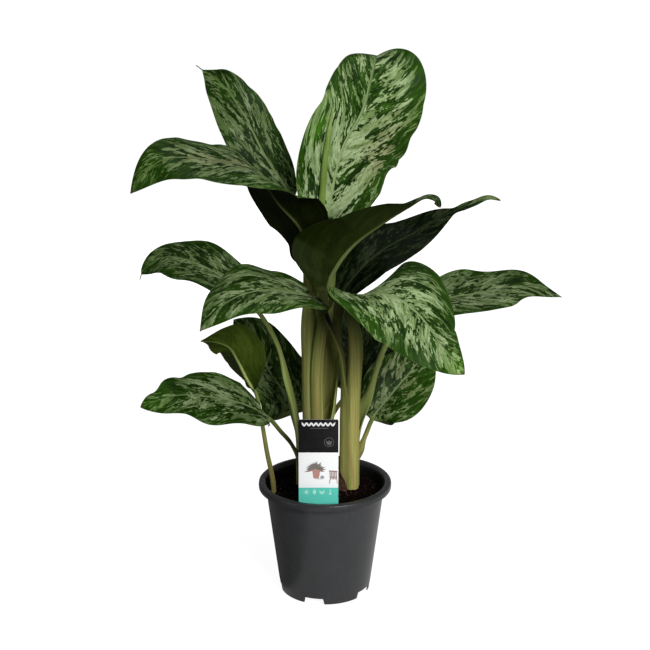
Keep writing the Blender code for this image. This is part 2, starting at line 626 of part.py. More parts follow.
def make_new_leaf(parts, finish):
    """The rolled new leaf: a thin spear that stands on the main cane."""
    curve = bpy.data.curves.new("new_leaf", "CURVE")
    curve.dimensions = "3D"
    curve.bevel_depth = NEW_LEAF_RADIUS
    curve.bevel_resolution = 2
    curve.use_fill_caps = True
    axis = SHOOTS["main"]["axis"]
    low = SHOOTS["main"]["top"] + TOUCH_GAP
    route = [(axis[0], axis[1], low, 1.0), (axis[0], axis[1], 0.300, 0.95),
             (-0.0070, 0.0195, 0.390, 0.80), (-0.0050, 0.0280, 0.440, 0.80),
             (-0.0060, 0.0335, 0.475, 0.85), (-0.0040, 0.0355, 0.510, 0.90),
             (-0.0006, 0.0365, 0.547, 0.85), (0.0045, 0.0370, 0.585, 0.50),
             (0.0097, 0.0395, 0.618, 0.12)]
    spline = curve.splines.new("POLY")
    spline.points.add(len(route) - 1)
    for point, (x, y, z, radius) in zip(spline.points, route):
        point.co = (x, y, z, 1.0)
        point.radius = radius
    add_object("new_leaf", curve, parts, finish)


def make_dry_sheaths(parts, finish):
    """Short tapered strips, curved round the foot of their shoot."""
    for name, sheath in DRY_SHEATHS.items():
        shoot = SHOOTS[sheath["shoot"]]
        share = np.linspace(0.0, 1.0, DRY_ROWS)[:, None]
        radius = shoot["outer"] + DRY_LEAN * share**2
        span = DRY_HALF_WIDTH * (1.0 - 0.8 * share**1.6) / radius
        turn = radians(sheath["angle"]) + span * np.linspace(1.0, -1.0, DRY_COLUMNS)[None, :]
        height = np.broadcast_to(SOIL_TOP + TOUCH_GAP + sheath["height"] * share, turn.shape)
        skins = []
        for reach in (radius, radius + DRY_THICKNESS):
            skins.append(np.stack([shoot["axis"][0] + reach * np.cos(turn),
                                   shoot["axis"][1] + reach * np.sin(turn), height], -1))
        loft(name, skins[0], skins[1], parts, finish)


def main():
    clear_scene()
    parts = new_collection(OBJECT_NAME)
    cutters = new_collection("cutters")
    dark_plastic = material("pot_plastic", (0.035, 0.038, 0.042), 0.45)
    peat = material("potting_soil", (0.035, 0.018, 0.012), 0.95)
    card = material("label_plastic", (0.75, 0.78, 0.77), 0.35)
    stem_green = material("stem_green", (0.30, 0.33, 0.12), 0.5)
    leaf_green = material("leaf_green", (0.07, 0.20, 0.05), 0.4)
    dry_brown = material("dry_sheath", (0.16, 0.07, 0.04), 0.8)
    young_green = material("young_leaf", (0.32, 0.42, 0.12), 0.45)
    make_pot(parts, cutters, dark_plastic)
    make_soil(parts, cutters, peat)
    make_label(parts, card)
    make_canes(parts, stem_green)
    make_leaves(parts, leaf_green)
    make_new_leaf(parts, young_green)
    make_dry_sheaths(parts, dry_brown)


main()
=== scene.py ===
"""A potted Chinese evergreen (Aglaonema), built in the order in which it grows and is packed:
pot, soil, canes, leaves, rolled new leaf, dry sheaths, plant label; then floor, lights, camera.

Metres, +Z up, -Y towards the front.  Every shape is a grid of points worked out with numpy.
"""

from math import cos, pi, radians, sin

import bpy
import numpy as np
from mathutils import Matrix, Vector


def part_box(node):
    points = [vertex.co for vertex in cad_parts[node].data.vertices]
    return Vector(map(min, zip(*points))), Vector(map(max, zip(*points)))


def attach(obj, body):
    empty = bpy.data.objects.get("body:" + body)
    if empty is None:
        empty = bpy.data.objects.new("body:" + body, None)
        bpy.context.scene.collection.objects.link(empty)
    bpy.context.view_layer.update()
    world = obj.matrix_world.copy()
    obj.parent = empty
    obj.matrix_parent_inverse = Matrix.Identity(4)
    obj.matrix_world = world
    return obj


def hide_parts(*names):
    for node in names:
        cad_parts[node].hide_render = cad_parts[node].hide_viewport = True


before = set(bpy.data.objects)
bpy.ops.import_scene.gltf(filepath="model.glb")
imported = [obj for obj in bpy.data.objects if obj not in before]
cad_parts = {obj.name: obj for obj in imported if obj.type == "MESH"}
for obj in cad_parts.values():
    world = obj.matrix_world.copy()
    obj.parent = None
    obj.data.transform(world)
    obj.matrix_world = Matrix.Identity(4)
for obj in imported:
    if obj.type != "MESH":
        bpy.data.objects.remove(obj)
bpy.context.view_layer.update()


# ---------------------------------------------------------------- pot
# A thin black polypropylene nursery pot, injection moulded in one piece: a tapered wall under
# a rolled lip, a foot ring with five drain notches, and a floor raised inside the ring.  The
# mould leaves a fine matte grain, faint flow marks and two shallow stacking steps.

POT_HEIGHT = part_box("pot")[1].z
RIM_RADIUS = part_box("pot")[1].x
WALL_TOP_RADIUS = 0.0765
FOOT_RADIUS = 0.058
TAPER = (WALL_TOP_RADIUS - FOOT_RADIUS) / (POT_HEIGHT - 0.0016)
WALL = 0.0013
FLOOR = 0.0016
FLOOR_RISE = 0.0095
CENTRE_FOOT = 0.026
CENTRE_FOOT_TOP = CENTRE_FOOT + 0.004
FLOOR_EDGE = 0.001
FLOOR_SPOKES = 96
LIP_DROP = 0.0085
LIP_THICKNESS = 0.0015
NOTCH_COUNT = 5
NOTCH_FIRST_ANGLE = radians(-104.0)
NOTCH_WIDTH = 0.025
NOTCH_HEIGHT = 0.0080
NOTCH_SOFTNESS = 0.0011
NOTCH_REACH = 0.022             # up to this height the wall gives way to the notches
GROUND = 1.5e-4                 # the foot's rounding lifts it by this
TURN_STEPS = 240


def wall_radius(height):
    """Outside of the tapered wall: a straight line from the foot to under the lip."""
    return FOOT_RADIUS + TAPER * height


def rounded(corners, steps=5):
    """An outline through (x, z, radius) corners, closed.

    Each corner becomes the curve (1-t)^2 A + 2t(1-t) C + t^2 B, where A and B lie on the
    corner's two sides at the given radius from the corner C.
    """
    corners = np.asarray(corners, float)
    point, radius = corners[:, :2], corners[:, 2:]
    back, ahead = unit(np.roll(point, 1, 0) - point), unit(np.roll(point, -1, 0) - point)
    t = np.linspace(0.0, 1.0, steps)[None, :, None]
    curve = ((1 - t) ** 2 * (point + back * radius)[:, None] + 2 * t * (1 - t) * point[:, None]
             + t**2 * (point + ahead * radius)[:, None])
    return curve.reshape(-1, 2)


def unit(vectors):
    """The vectors at length 1."""
    return vectors / np.linalg.norm(vectors, axis=-1, keepdims=True)


def divided(outline, longest, closed=True):
    """The outline with its sides cut into equal lengths no longer than the given one."""
    ends = np.roll(outline, -1, 0) if closed else outline[1:]
    points = []
    for start, end in zip(outline, ends):
        count = max(1, int(np.ceil(np.linalg.norm(end - start) / longest)))
        points.append(start + (end - start) * np.arange(count)[:, None] / count)
    return np.concatenate(points + ([] if closed else [outline[-1:]]))


def grid_faces(rows, columns, wrap_rows=False, wrap_columns=False, first=0):
    """Corner numbers of the quads of a grid whose points are numbered row by row."""
    number = np.arange(rows * columns).reshape(rows, columns) + first
    number = np.pad(number, ((0, wrap_rows), (0, wrap_columns)), "wrap")
    corners = (number[:-1, :-1], number[:-1, 1:], number[1:, 1:], number[1:, :-1])
    return np.stack(corners, -1).reshape(-1, 4)


def tube_faces(rows, columns, first=0, flip=False):
    """Faces of a tube whose rows are rings of points, with a flat face at either end."""
    last = first + (rows - 1) * columns
    faces = grid_faces(rows, columns, wrap_columns=True, first=first).tolist()
    faces += [list(range(first, first + columns))[::-1], list(range(last, last + columns))]
    return [face[::-1] for face in faces] if flip else faces


def new_piece(name, points, faces, finish, sharp=40.0):
    """An object at the origin from points and faces, smooth except at edges past an angle."""
    mesh = bpy.data.meshes.new(name)
    mesh.from_pydata(np.asarray(points, float).reshape(-1, 3).tolist(), [], faces)
    mesh.materials.append(finish)
    mesh.shade_smooth()
    if sharp:
        mesh.set_sharp_from_angle(angle=radians(sharp))
    piece = bpy.data.objects.new(name, mesh)
    bpy.context.scene.collection.objects.link(piece)
    return piece


def at_angle(radius, angle, height, centre=(0.0, 0.0)):
    """Points at a radius and an angle round a centre, at a height, all three broadcast."""
    return np.stack(np.broadcast_arrays(centre[0] + radius * np.cos(angle),
                                        centre[1] + radius * np.sin(angle), height), -1)


def ease(value):
    """0 below 0, 1 above 1, and 3v^2 - 2v^3 between."""
    value = np.clip(value, 0.0, 1.0)
    return value * value * (3.0 - 2.0 * value)


class Nodes:
    """Short names for adding the nodes of one tree.  Each gives the new node's output."""

    def __init__(self, tree):
        """The tree is a material's or the world's."""
        self.tree = tree

    def add(self, kind, values=(), out=0, **settings):
        """The settings are the node's own; the values go to its sockets by name or number,
        each a constant or another node's output.  With no out it gives all the outputs."""
        made = self.tree.nodes.new("ShaderNode" + kind)
        for key, value in settings.items():
            setattr(made, key, value)
        for key, value in dict(values).items():
            if isinstance(value, bpy.types.NodeSocket):
                self.tree.links.new(value, made.inputs[key])
            else:
                colour = made.inputs[key].type == "RGBA"
                made.inputs[key].default_value = (*value, 1.0) if colour else value
        return made.outputs if out is None else made.outputs[out]

    def maths(self, operation, *terms):
        """One sum, product, comparison or the like of the terms."""
        return self.add("Math", enumerate(terms), operation=operation)

    def times(self, first, second):
        """first * second"""
        return self.maths("MULTIPLY", first, second)

    def minus(self, first, second):
        """first - second"""
        return self.maths("SUBTRACT", first, second)

    def scaled(self, value, factor, added):
        """value * factor + added"""
        return self.maths("MULTIPLY_ADD", value, factor, added)

    def centred(self, value, factor, added):
        """(value - 0.5) * factor + added"""
        return self.scaled(self.minus(value, 0.5), factor, added)

    def weighed(self, first, *others):
        """The sum of values, each times its weight."""
        total = self.times(*first)
        for value, weight in others:
            total = self.scaled(value, weight, total)
        return total

    def between(self, value, low, high, to_low=0.0, to_high=1.0):
        """The value eased from low..high to another range, and held at its ends."""
        return self.add("MapRange", {0: value, 1: low, 2: high, 3: to_low, 4: to_high},
                        interpolation_type="SMOOTHSTEP")

    def length(self, vector):
        """The vector's length."""
        return self.add("VectorMath", {0: vector}, "Value", operation="LENGTH")


class Finish(Nodes):
    """A material with its shader's constants set; place is the object's own coordinates."""

    def __init__(self, name, **constants):
        """The constants are sockets of the shader, with _ for each space in their names."""
        self.material = bpy.data.materials.new(name)
        self.material.use_nodes = True
        super().__init__(self.material.node_tree)
        self.shader = self.tree.nodes["Principled BSDF"]
        for key, value in constants.items():
            self.shader.inputs[key.replace("_", " ")].default_value = value
        self.place = self.add("TexCoord", out="Object")

    def stretched(self, scale, vector=None):
        """Coordinates times a scale of their own along each axis."""
        return self.add("VectorMath", {0: vector or self.place, 1: scale}, operation="MULTIPLY")

    def noise(self, grains, detail=3.0, roughness=0.55, distortion=0.0, vector=None):
        """Fractal noise, about 0.5 on average; grains to a metre, along each axis or all."""
        vector = vector or self.place
        if isinstance(grains, tuple):
            vector, grains = self.stretched(grains, vector), 1.0
        return self.add("TexNoise", {"Vector": vector, "Scale": grains, "Detail": detail,
                                     "Roughness": roughness, "Distortion": distortion})

    def coated(self, colour, *coats):
        """A colour under coats, each a share and the colour that it mixes in."""
        for share, coat in coats:
            colour = self.add("Mix", {0: share, 6: colour, 7: coat}, 2, data_type="RGBA")
        return colour

    def done(self, colour, relief=None, depth=0.0, strength=1.0, rough=None):
        """The material, once its colour, relief (depth in metres) and roughness are linked."""
        links = {"Base Color": colour, "Roughness": rough}
        if relief is not None:
            links["Normal"] = self.add("Bump", {"Height": relief, "Distance": depth,
                                                "Strength": strength})
        for key, value in links.items():
            if value is not None:
                self.tree.links.new(value, self.shader.inputs[key])
        return self.material


def mat_plastic():
    """Dark grey grained plastic: cloudy tone, flow marks down the wall, dust low down, a darker
    grey from just under the lip up, and painted shade inside: the wall's inner side, told by
    its distance from the axis, is near black."""
    mat = Finish("pot_black_plastic", Specular_IOR_Level=0.42)
    cloud = mat.noise(28.0, 4.0, 0.6)
    flow = mat.noise((140.0, 140.0, 9.0), 3.0, 0.5, 0.6)
    rings = mat.noise((4.0, 4.0, 420.0), 2.0)
    height = mat.add("SeparateXYZ", {0: mat.place}, "Z")
    low = mat.scaled(mat.between(height, 0.030, 0.0), 0.4, 0.10)
    dust = mat.times(mat.between(mat.noise(900.0, 2.0, 0.7), 0.60, 0.72), low)
    middle = mat.scaled(height, TAPER, FOOT_RADIUS - 0.5 * WALL)
    inside = mat.minus(middle, mat.length(mat.stretched((1, 1, 0))))
    lip_foot = POT_HEIGHT - LIP_DROP
    colour = mat.coated(
        (0.034, 0.035, 0.037),
        (mat.between(cloud, 0.35, 0.68), (0.039, 0.040, 0.042)),
        (mat.between(flow, 0.52, 0.75, 0.0, 0.35), (0.048, 0.048, 0.050)),
        (dust, (0.16, 0.14, 0.12)),
        # painted shade: the inner side of the wall near black
        (mat.times(mat.between(inside, -0.0003, 0.0004), 0.9), (0.006, 0.005, 0.005)),
        (mat.between(height, lip_foot - 0.0012, lip_foot, 0.0, 0.5), (0.016, 0.016, 0.018)))
    rough = mat.scaled(cloud, 0.06, mat.scaled(flow, 0.08, 0.20))
    grain = mat.noise(2600.0, 2.0, 0.6)
    return mat.done(colour, mat.scaled(rings, 0.5, grain), 0.00012, 0.55, rough)


def make_pot():
    """The wall's outline is carried round the axis; the notches push its lowest part up."""
    top, shelf = POT_HEIGHT, POT_HEIGHT - LIP_THICKNESS
    lip_foot = POT_HEIGHT - LIP_DROP
    outline = divided(rounded([
        (FOOT_RADIUS - WALL, GROUND, 0.0003),
        (WALL_TOP_RADIUS - WALL, top - 0.0040, 0.0025),
        (WALL_TOP_RADIUS + 0.0006, top, 0.0022),
        (RIM_RADIUS - 0.0009, top, 0.0032),
        (RIM_RADIUS, top - 0.0040, 0.0022),
        (RIM_RADIUS - 0.0003, lip_foot, 0.0005),
        (RIM_RADIUS - LIP_THICKNESS, lip_foot, 0.0005),
        (RIM_RADIUS - LIP_THICKNESS, shelf, 0.0020),
        (WALL_TOP_RADIUS + 0.0002, shelf - 0.0008, 0.0018),
        (FOOT_RADIUS, GROUND, 0.0005),
    ]), 0.0022)

    # The foot band and the stacking steps are eased offsets (height, depth) of the outer side.
    radius, height = outline[:, 0].copy(), outline[:, 1]
    outer = (np.abs(radius - wall_radius(height)) < 0.0004) & (height < lip_foot)
    steps = 0.00025 * ease((0.0095 - height) / 0.0012)
    for edge, depth in ((0.1270, 0.00040), (0.1335, -0.00040)):
        steps += depth * ease((height - edge) / 0.0012)
    radius[outer] -= steps[outer]

    edges = NOTCH_FIRST_ANGLE + 2 * pi * np.arange(NOTCH_COUNT)[:, None] / NOTCH_COUNT
    fine = np.linspace(-1.0, 1.0, 7) * 0.03
    half = NOTCH_WIDTH / 2 / FOOT_RADIUS
    near = np.concatenate([edges - half + fine, edges + half + fine]).ravel() % (2 * pi)
    angles = np.unique(np.concatenate([np.linspace(0, 2 * pi, TURN_STEPS, False), near]))
    away = np.abs((angles[None, :] - edges + pi) % (2 * pi) - pi).min(0) * FOOT_RADIUS
    notch = NOTCH_HEIGHT * ease((NOTCH_WIDTH / 2 + NOTCH_SOFTNESS - away) / (2 * NOTCH_SOFTNESS))
    lifted = height + notch[:, None] * np.clip(1.0 - height / NOTCH_REACH, 0.0, 1.0)
    leaned = radius + (wall_radius(lifted) - wall_radius(height))
    ring = at_angle(leaned, angles[:, None], lifted)

    floor_top, reach = FLOOR_RISE + FLOOR, wall_radius(FLOOR_RISE) - WALL / 2
    plate = divided(np.array([
        (0.002, FLOOR), (CENTRE_FOOT, FLOOR), (CENTRE_FOOT_TOP, floor_top), (reach, floor_top),
        (reach, FLOOR_RISE), (CENTRE_FOOT_TOP + FLOOR_EDGE, FLOOR_RISE),
        (CENTRE_FOOT + FLOOR_EDGE, 0.0), (0.002, 0.0)]), 0.008)[:-1]
    spokes = np.linspace(0, 2 * pi, FLOOR_SPOKES, False)
    disc = at_angle(plate[:, :1], spokes, plate[:, 1:])
    rows, columns = ring.shape[:2]
    faces = grid_faces(rows, columns, True, True).tolist()
    faces += tube_faces(len(plate), FLOOR_SPOKES, rows * columns, flip=True)
    points = np.concatenate([ring.reshape(-1, 3), disc.reshape(-1, 3)])
    return new_piece("nursery_pot", points, faces, mat_plastic(), sharp=55.0)


pot = make_pot()
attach(pot, "root")
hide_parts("pot")


# ---------------------------------------------------------------- soil
# Dark peat and bark potting mix, filled to about 13 mm under the rim and settled by watering:
# a crumbly crust with loose crumbs, reddish bark chips and a few pale wood flecks on it.

SOIL_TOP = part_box("soil")[1].z
SOIL_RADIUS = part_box("soil")[1].x
SOIL_RINGS = 84
SOIL_SPOKES = 260
SOIL_GAP = 0.0004
LUMPS = ((0.0014, 0.0085, 3), (0.0009, 0.0038, 4), (0.0005, 0.0017, 5))    # height, size, seed
CRUMBS = 1500
BARK_CHIPS = 210
WOOD_FLECKS = 26


def rough_ground(x, y, grain, seed):
    """Random heights on a square lattice of the grain's size, eased between, from -1 to 1."""
    lattice = np.random.default_rng(seed).uniform(-1, 1, (128, 128))
    u, v = x / grain + 60.0, y / grain + 60.0
    i, j = np.floor(u).astype(int), np.floor(v).astype(int)
    s, t = ease(u - i), ease(v - j)
    i, j = i % 127, j % 127
    near = lattice[i, j] * (1 - s) + lattice[i + 1, j] * s
    far = lattice[i, j + 1] * (1 - s) + lattice[i + 1, j + 1] * s
    return near * (1 - t) + far * t


def soil_height(x, y):
    """The crust: three sizes of lumps, a low mound round the shoots, sunk at the wall."""
    lumps = sum(height * rough_ground(x, y, size, seed) for height, size, seed in LUMPS)
    mound = 0.0020 * np.exp(-(np.hypot(x - 0.005, y - 0.01) / 0.040) ** 2)
    sunk = 0.0015 * ease((np.hypot(x, y) / SOIL_RADIUS - 0.86) / 0.14)
    return SOIL_TOP - 0.0018 + lumps + mound - sunk


def mat_peat():
    """Damp peat: near black with reddish brown fibres and crumbs."""
    mat = Finish("damp_peat", Specular_IOR_Level=0.05, Roughness=0.9)
    colour = mat.coated(
        (0.0020, 0.0011, 0.0010),
        (mat.between(mat.noise(420.0, 4.0, 0.7), 0.46, 0.72), (0.013, 0.0050, 0.0042)),
        (mat.between(mat.noise(90.0, 3.0, 0.6), 0.50, 0.70, 0.0, 0.6), (0.0120, 0.0034, 0.0030)))
    return mat.done(colour, mat.noise(1100.0, 4.0, 0.7), 0.0006)


def mat_bark():
    """Bark chips: red-brown with dark edges and stringy fibres."""
    mat = Finish("bark_chips", Specular_IOR_Level=0.22, Roughness=0.82)
    fibres = mat.noise((900.0, 240.0, 900.0), 3.0, 0.7)
    colour = mat.coated(
        (0.006, 0.0022, 0.0020),
        (mat.between(mat.noise(160.0, 1.0), 0.35, 0.65), (0.038, 0.0110, 0.0090)),
        (mat.between(fibres, 0.45, 0.75, 0.0, 0.6), (0.060, 0.022, 0.018)))
    return mat.done(colour, fibres, 0.0003)


def mat_wood_fleck():
    """Pale wood fibre and stone flecks, stained pinkish brown by the peat."""
    mat = Finish("wood_flecks", Specular_IOR_Level=0.25, Roughness=0.75)
    stain = mat.noise(500.0, 3.0, 0.65)
    colour = mat.coated((0.30, 0.17, 0.15),
                        (mat.between(stain, 0.38, 0.66), (0.075, 0.028, 0.024)))
    return mat.done(colour, stain, 0.0003)


def make_soil():
    """A polar grid for the crust, closed by the plug's side and its stepped underside."""
    radius = SOIL_RADIUS * np.linspace(0.012, 1.0, SOIL_RINGS)[:, None]
    angle = np.linspace(0, 2 * pi, SOIL_SPOKES, False)
    x, y = radius * np.cos(angle), radius * np.sin(angle)
    crust = np.stack([x, y, soil_height(x, y)], -1)
    raised = FLOOR_RISE + FLOOR + SOIL_GAP
    plug = divided(np.array([
        (SOIL_RADIUS, SOIL_TOP - 0.004), (wall_radius(raised) - WALL - SOIL_GAP, raised),
        (CENTRE_FOOT_TOP - SOIL_GAP, raised), (CENTRE_FOOT - SOIL_GAP, FLOOR + SOIL_GAP),
        (0.001, FLOOR + SOIL_GAP)]), 0.010, closed=False)
    rough = rough_ground(angle * 40.0 * 0.0017, plug[:, 1:], 0.0017, 8) * 0.0003
    side = at_angle(plug[:, :1] * (1 - np.abs(rough) / 0.06), angle, plug[:, 1:])
    points = np.concatenate([crust, side])
    faces = tube_faces(len(points), SOIL_SPOKES, flip=True)
    return new_piece("soil_plug", points, faces, mat_peat(), sharp=0)


def make_lumps(name, x, y, size, finish, seed, sink=0.35):
    """Loose lumps on the crust: a twelve-cornered solid for each, squashed, dented, turned.

    Corner k of lump n is R_n (d_nk * size_n * c_k) + place_n, with c the unit icosahedron,
    d a random dent and R_n a random turn.
    """
    golden = (1 + 5**0.5) / 2
    base = np.array([(-1, golden, 0), (1, golden, 0), (-1, -golden, 0), (1, -golden, 0),
                     (0, -1, golden), (0, 1, golden), (0, -1, -golden), (0, 1, -golden),
                     (golden, 0, -1), (golden, 0, 1), (-golden, 0, -1), (-golden, 0, 1)])
    base /= np.linalg.norm(base[0])
    sides = np.array([(0, 11, 5), (0, 5, 1), (0, 1, 7), (0, 7, 10), (0, 10, 11), (1, 5, 9),
                      (5, 11, 4), (11, 10, 2), (10, 7, 6), (7, 1, 8), (3, 9, 4), (3, 4, 2),
                      (3, 2, 6), (3, 6, 8), (3, 8, 9), (4, 9, 5), (2, 4, 11), (6, 2, 10),
                      (8, 6, 7), (9, 8, 1)])
    rng = np.random.default_rng(seed)
    shape = base * size[:, None, :] / 2 * rng.uniform(0.6, 1.15, (len(x), 12, 1))
    turn, lean = rng.uniform(0, 2 * pi, len(x)), rng.normal(0, 0.45, (2, len(x)))
    for angle, first, second in ((lean[0], 1, 2), (lean[1], 0, 2), (turn, 0, 1)):
        a, b = shape[..., first].copy(), shape[..., second].copy()
        c, s = np.cos(angle)[:, None], np.sin(angle)[:, None]
        shape[..., first], shape[..., second] = c * a - s * b, s * a + c * b
    height = soil_height(x, y) + size[:, 2] * (0.5 - sink)
    points = shape + np.stack([x, y, height], -1)[:, None, :]
    faces = sides + 12 * np.arange(len(x))[:, None, None]
    return new_piece(name, points, faces.reshape(-1, 3).tolist(), finish, sharp=0)


def scattered(count, seed, reach=0.94):
    """Places spread evenly over the crust's disc: the radius is the root of a random share."""
    rng = np.random.default_rng(seed)
    radius = SOIL_RADIUS * reach * np.sqrt(rng.uniform(0, 1, count))
    angle = rng.uniform(0, 2 * pi, count)
    return radius * np.cos(angle), radius * np.sin(angle), rng


soil = make_soil()
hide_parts("soil")
x, y, rng = scattered(CRUMBS, 11)
grain = rng.lognormal(np.log(0.0015), 0.42, CRUMBS)
crumbs = make_lumps("soil_crumbs", x, y, grain[:, None] * rng.uniform(0.7, 1.25, (CRUMBS, 3)),
                    mat_peat(), 12)
x, y, rng = scattered(BARK_CHIPS, 21, 0.92)
length = rng.uniform(0.0022, 0.0062, BARK_CHIPS)
chips = make_lumps("bark_chips", x, y, np.stack([length, length * 0.5, 0.0007 + 0.14 * length], -1),
                   mat_bark(), 22, 0.2)
x, y, rng = scattered(WOOD_FLECKS, 34, 0.90)
length = rng.uniform(0.0014, 0.0036, WOOD_FLECKS)
flecks = make_lumps("wood_flecks", x, y, np.stack([length, length * 0.6, 0.35 * length], -1),
                    mat_wood_fleck(), 35, 0.15)
for piece in (soil, crumbs, chips, flecks):
    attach(piece, "root")


# ---------------------------------------------------------------- canes
# Two short upright stems, green and fleshy, ringed by the scars of fallen leaves.  They stand
# in the soil inside their petioles, which clasp them, so only their tops show.

SCAR_SPACING = 0.011
CANE_ROWS = 90
CANE_SIDES = 40


def mat_cane():
    """Olive green bark with paler rings and fine lengthwise lines."""
    mat = Finish("cane_green", Roughness=0.5, Specular_IOR_Level=0.35)
    lines = mat.noise((700.0, 700.0, 30.0), 3.0, 0.6)
    rings = mat.noise((30.0, 30.0, 260.0), 2.0)
    colour = mat.coated((0.060, 0.085, 0.018),
                        (mat.between(lines, 0.35, 0.68), (0.15, 0.17, 0.050)),
                        (mat.between(rings, 0.56, 0.70, 0.0, 0.6), (0.19, 0.16, 0.075)))
    return mat.done(colour, mat.maths("ADD", lines, rings), 0.00025)


def make_cane(name, node, finish):
    """A rod whose radius dips at each leaf scar and rounds over at the top.

    radius(z) = R (1 - 0.07 dip) sqrt(1 - 0.985 u^40), where u is the share of the height.
    """
    low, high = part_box(node)
    centre = (low + high) / 2
    share = 1 - (1 - np.linspace(0.0, 1.0, CANE_ROWS)[:, None]) ** 1.6
    height = low.z + (high.z - low.z) * share
    scar = np.abs((height / SCAR_SPACING) % 1.0 - 0.5) * 2
    dip = 1 - 0.07 * ease((scar - 0.75) / 0.25)
    size = (high.x - low.x) / 2 * dip * (1 - 0.985 * share**40) ** 0.5
    angle = np.linspace(0, 2 * pi, CANE_SIDES, False)
    wobble = np.minimum(1 + 0.02 * np.sin(3 * angle + height * 300), 1.0)
    points = at_angle(size * wobble, angle, height, centre)
    cane = new_piece(name, points, tube_faces(CANE_ROWS, CANE_SIDES), finish)
    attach(cane, "root")
    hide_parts(node)


cane_finish = mat_cane()
make_cane("main_cane", "cane_main", cane_finish)
make_cane("right_cane", "cane_right", cane_finish)


# ---------------------------------------------------------------- leaves
# Fifteen leaves.  Each is one surface: a petiole that clasps its cane at the foot, stands up
# beside it as a fleshy half-round stalk, then opens into the blade, thin, leathery and
# slightly quilted between the side veins.  The upper side is silver-green, streaked along
# the veins with dark green that gathers at the margin; the underside is plain olive.  Over
# this each leaf carries painted shade and painted light: its colour is made darker or
# lighter by how much light reaches it, deep in the plant, on its underside and up its petiole.

TOUCH_GAP = 0.0003
SHOOTS = {
    "main": dict(axis=(-0.011, 0.012), inner=0.0142, outer=0.0232),
    "right": dict(axis=(0.031, 0.008), inner=0.0102, outer=0.0190),
}
SIDE_SHOOT = (-0.066, -0.008)
SIDE_SHOOT_DEPTH = 0.020
# Half-width of the stalk at foot and blade, half-width of the sheath at its foot, degrees that
# each half of the sheath bends round the cane, and the share of the petiole it narrows along.
PETIOLES = {
    "inner": dict(stalk=(0.0046, 0.0034), foot=0.0092, wrap=42.0, end=1.0, sheathed=1.0),
    "outer": dict(stalk=(0.0034, 0.0029), foot=0.0062, wrap=45.0, end=0.70, sheathed=1.0),
    "bare": dict(stalk=(0.0040, 0.0023), foot=0.0031, wrap=0.0, end=1.0, sheathed=0.0),
}
SHEATH_HOLD = 2.2
SHEATH_DROP = 0.6
STALK_DOME = radians(80.0)
STALK_SPREAD = STALK_DOME / sin(STALK_DOME)     # half a domed stalk's arc against its width
BLADE_THICKNESS = 0.0009
MARGIN_THICKNESS = 0.00045
MIDRIB_DEPTH = 0.0024
MIDRIB_TIP_DEPTH = 0.0004
MIDRIB_HALF_WIDTH = 0.0026
MIDRIB_GROOVE = 0.00045
TIP_HALF_WIDTH = 0.0006
OPENING = 0.10                  # share of the blade along which it opens out of the petiole
WAVE_ONSET = 2.2
FOOT_FACING = 0.3
ROUND = 0.92
VEIN_SPACING = 0.0088
VEIN_RELIEF = 0.00030
PETIOLE_ROWS = 46
BLADE_ROWS = 168
HALF_COLUMNS = 24
COLUMN_SPREAD = 1.15
PATTERN_STEP = 3.7              # how far apart the leaves are in the noise that marks them
SPINE_SAMPLES = 600


def grow(shoot, ring, angle, rise, **more):
    """How one leaf grows and is coloured.  Lengths here are in millimetres.

    ring, angle: where its petiole starts round the cane, degrees from +X; rise: up to where
    it stays parallel to the cane; petiole, blade: the spine's further points; face: where the
    upper side points (azimuth from the front, elevation); fold, curl: degrees that each half
    rises from the midrib and bends down at its margin; form: exponents of the outline at base
    and tip; wave: height, count and phase of the margins' waves; lean: how much wider the
    half on the spine's right is; tail: where the outline narrows to a drip tip, and that
    tip's half-width; hold, sheath: how far up and how broadly the petiole stays sheathed,
    against its kind; dents: (along, side, depth, length) of notches in the margin.

    silver: share of silver at the midrib and at the margin; base, tip: what is added at the
    blade's ends; shade, under, stem, neck: painted shade and painted light, as brightness
    factors of the upper side, of the underside's inner and outer half, of the petiole and of
    its top (none: as the stem), set for how much light each part gets; sap: how green
    the petiole is, from tan; sweep: how far the side veins lean towards the tip, at the
    midrib and more towards the margin; draw: how much longer the patches are drawn out along
    the veins; spots: (tone, along, reach, size along, size across, amount), each a soft patch
    of more silver, painted shade or light (shade), warmth or lime.
    """
    leaf = dict(shoot=shoot, ring=ring, angle=angle, rise=rise, fold=[20, 15, 10, 5, 0],
                curl=[5, 5, 5, 5, 5], form=(0.65, 1.1), wave=(3, 2.5, 0.2), lean=0, tail=(1, 0),
                hold=1, sheath=1, dents=[], base=0.25, tip=-0.20, shade=1, under=(1.15, 1.15),
                stem=1, neck=None, sap=0, sweep=(0.55, 0.75), draw=1, spots=[])
    return {**leaf, **more}
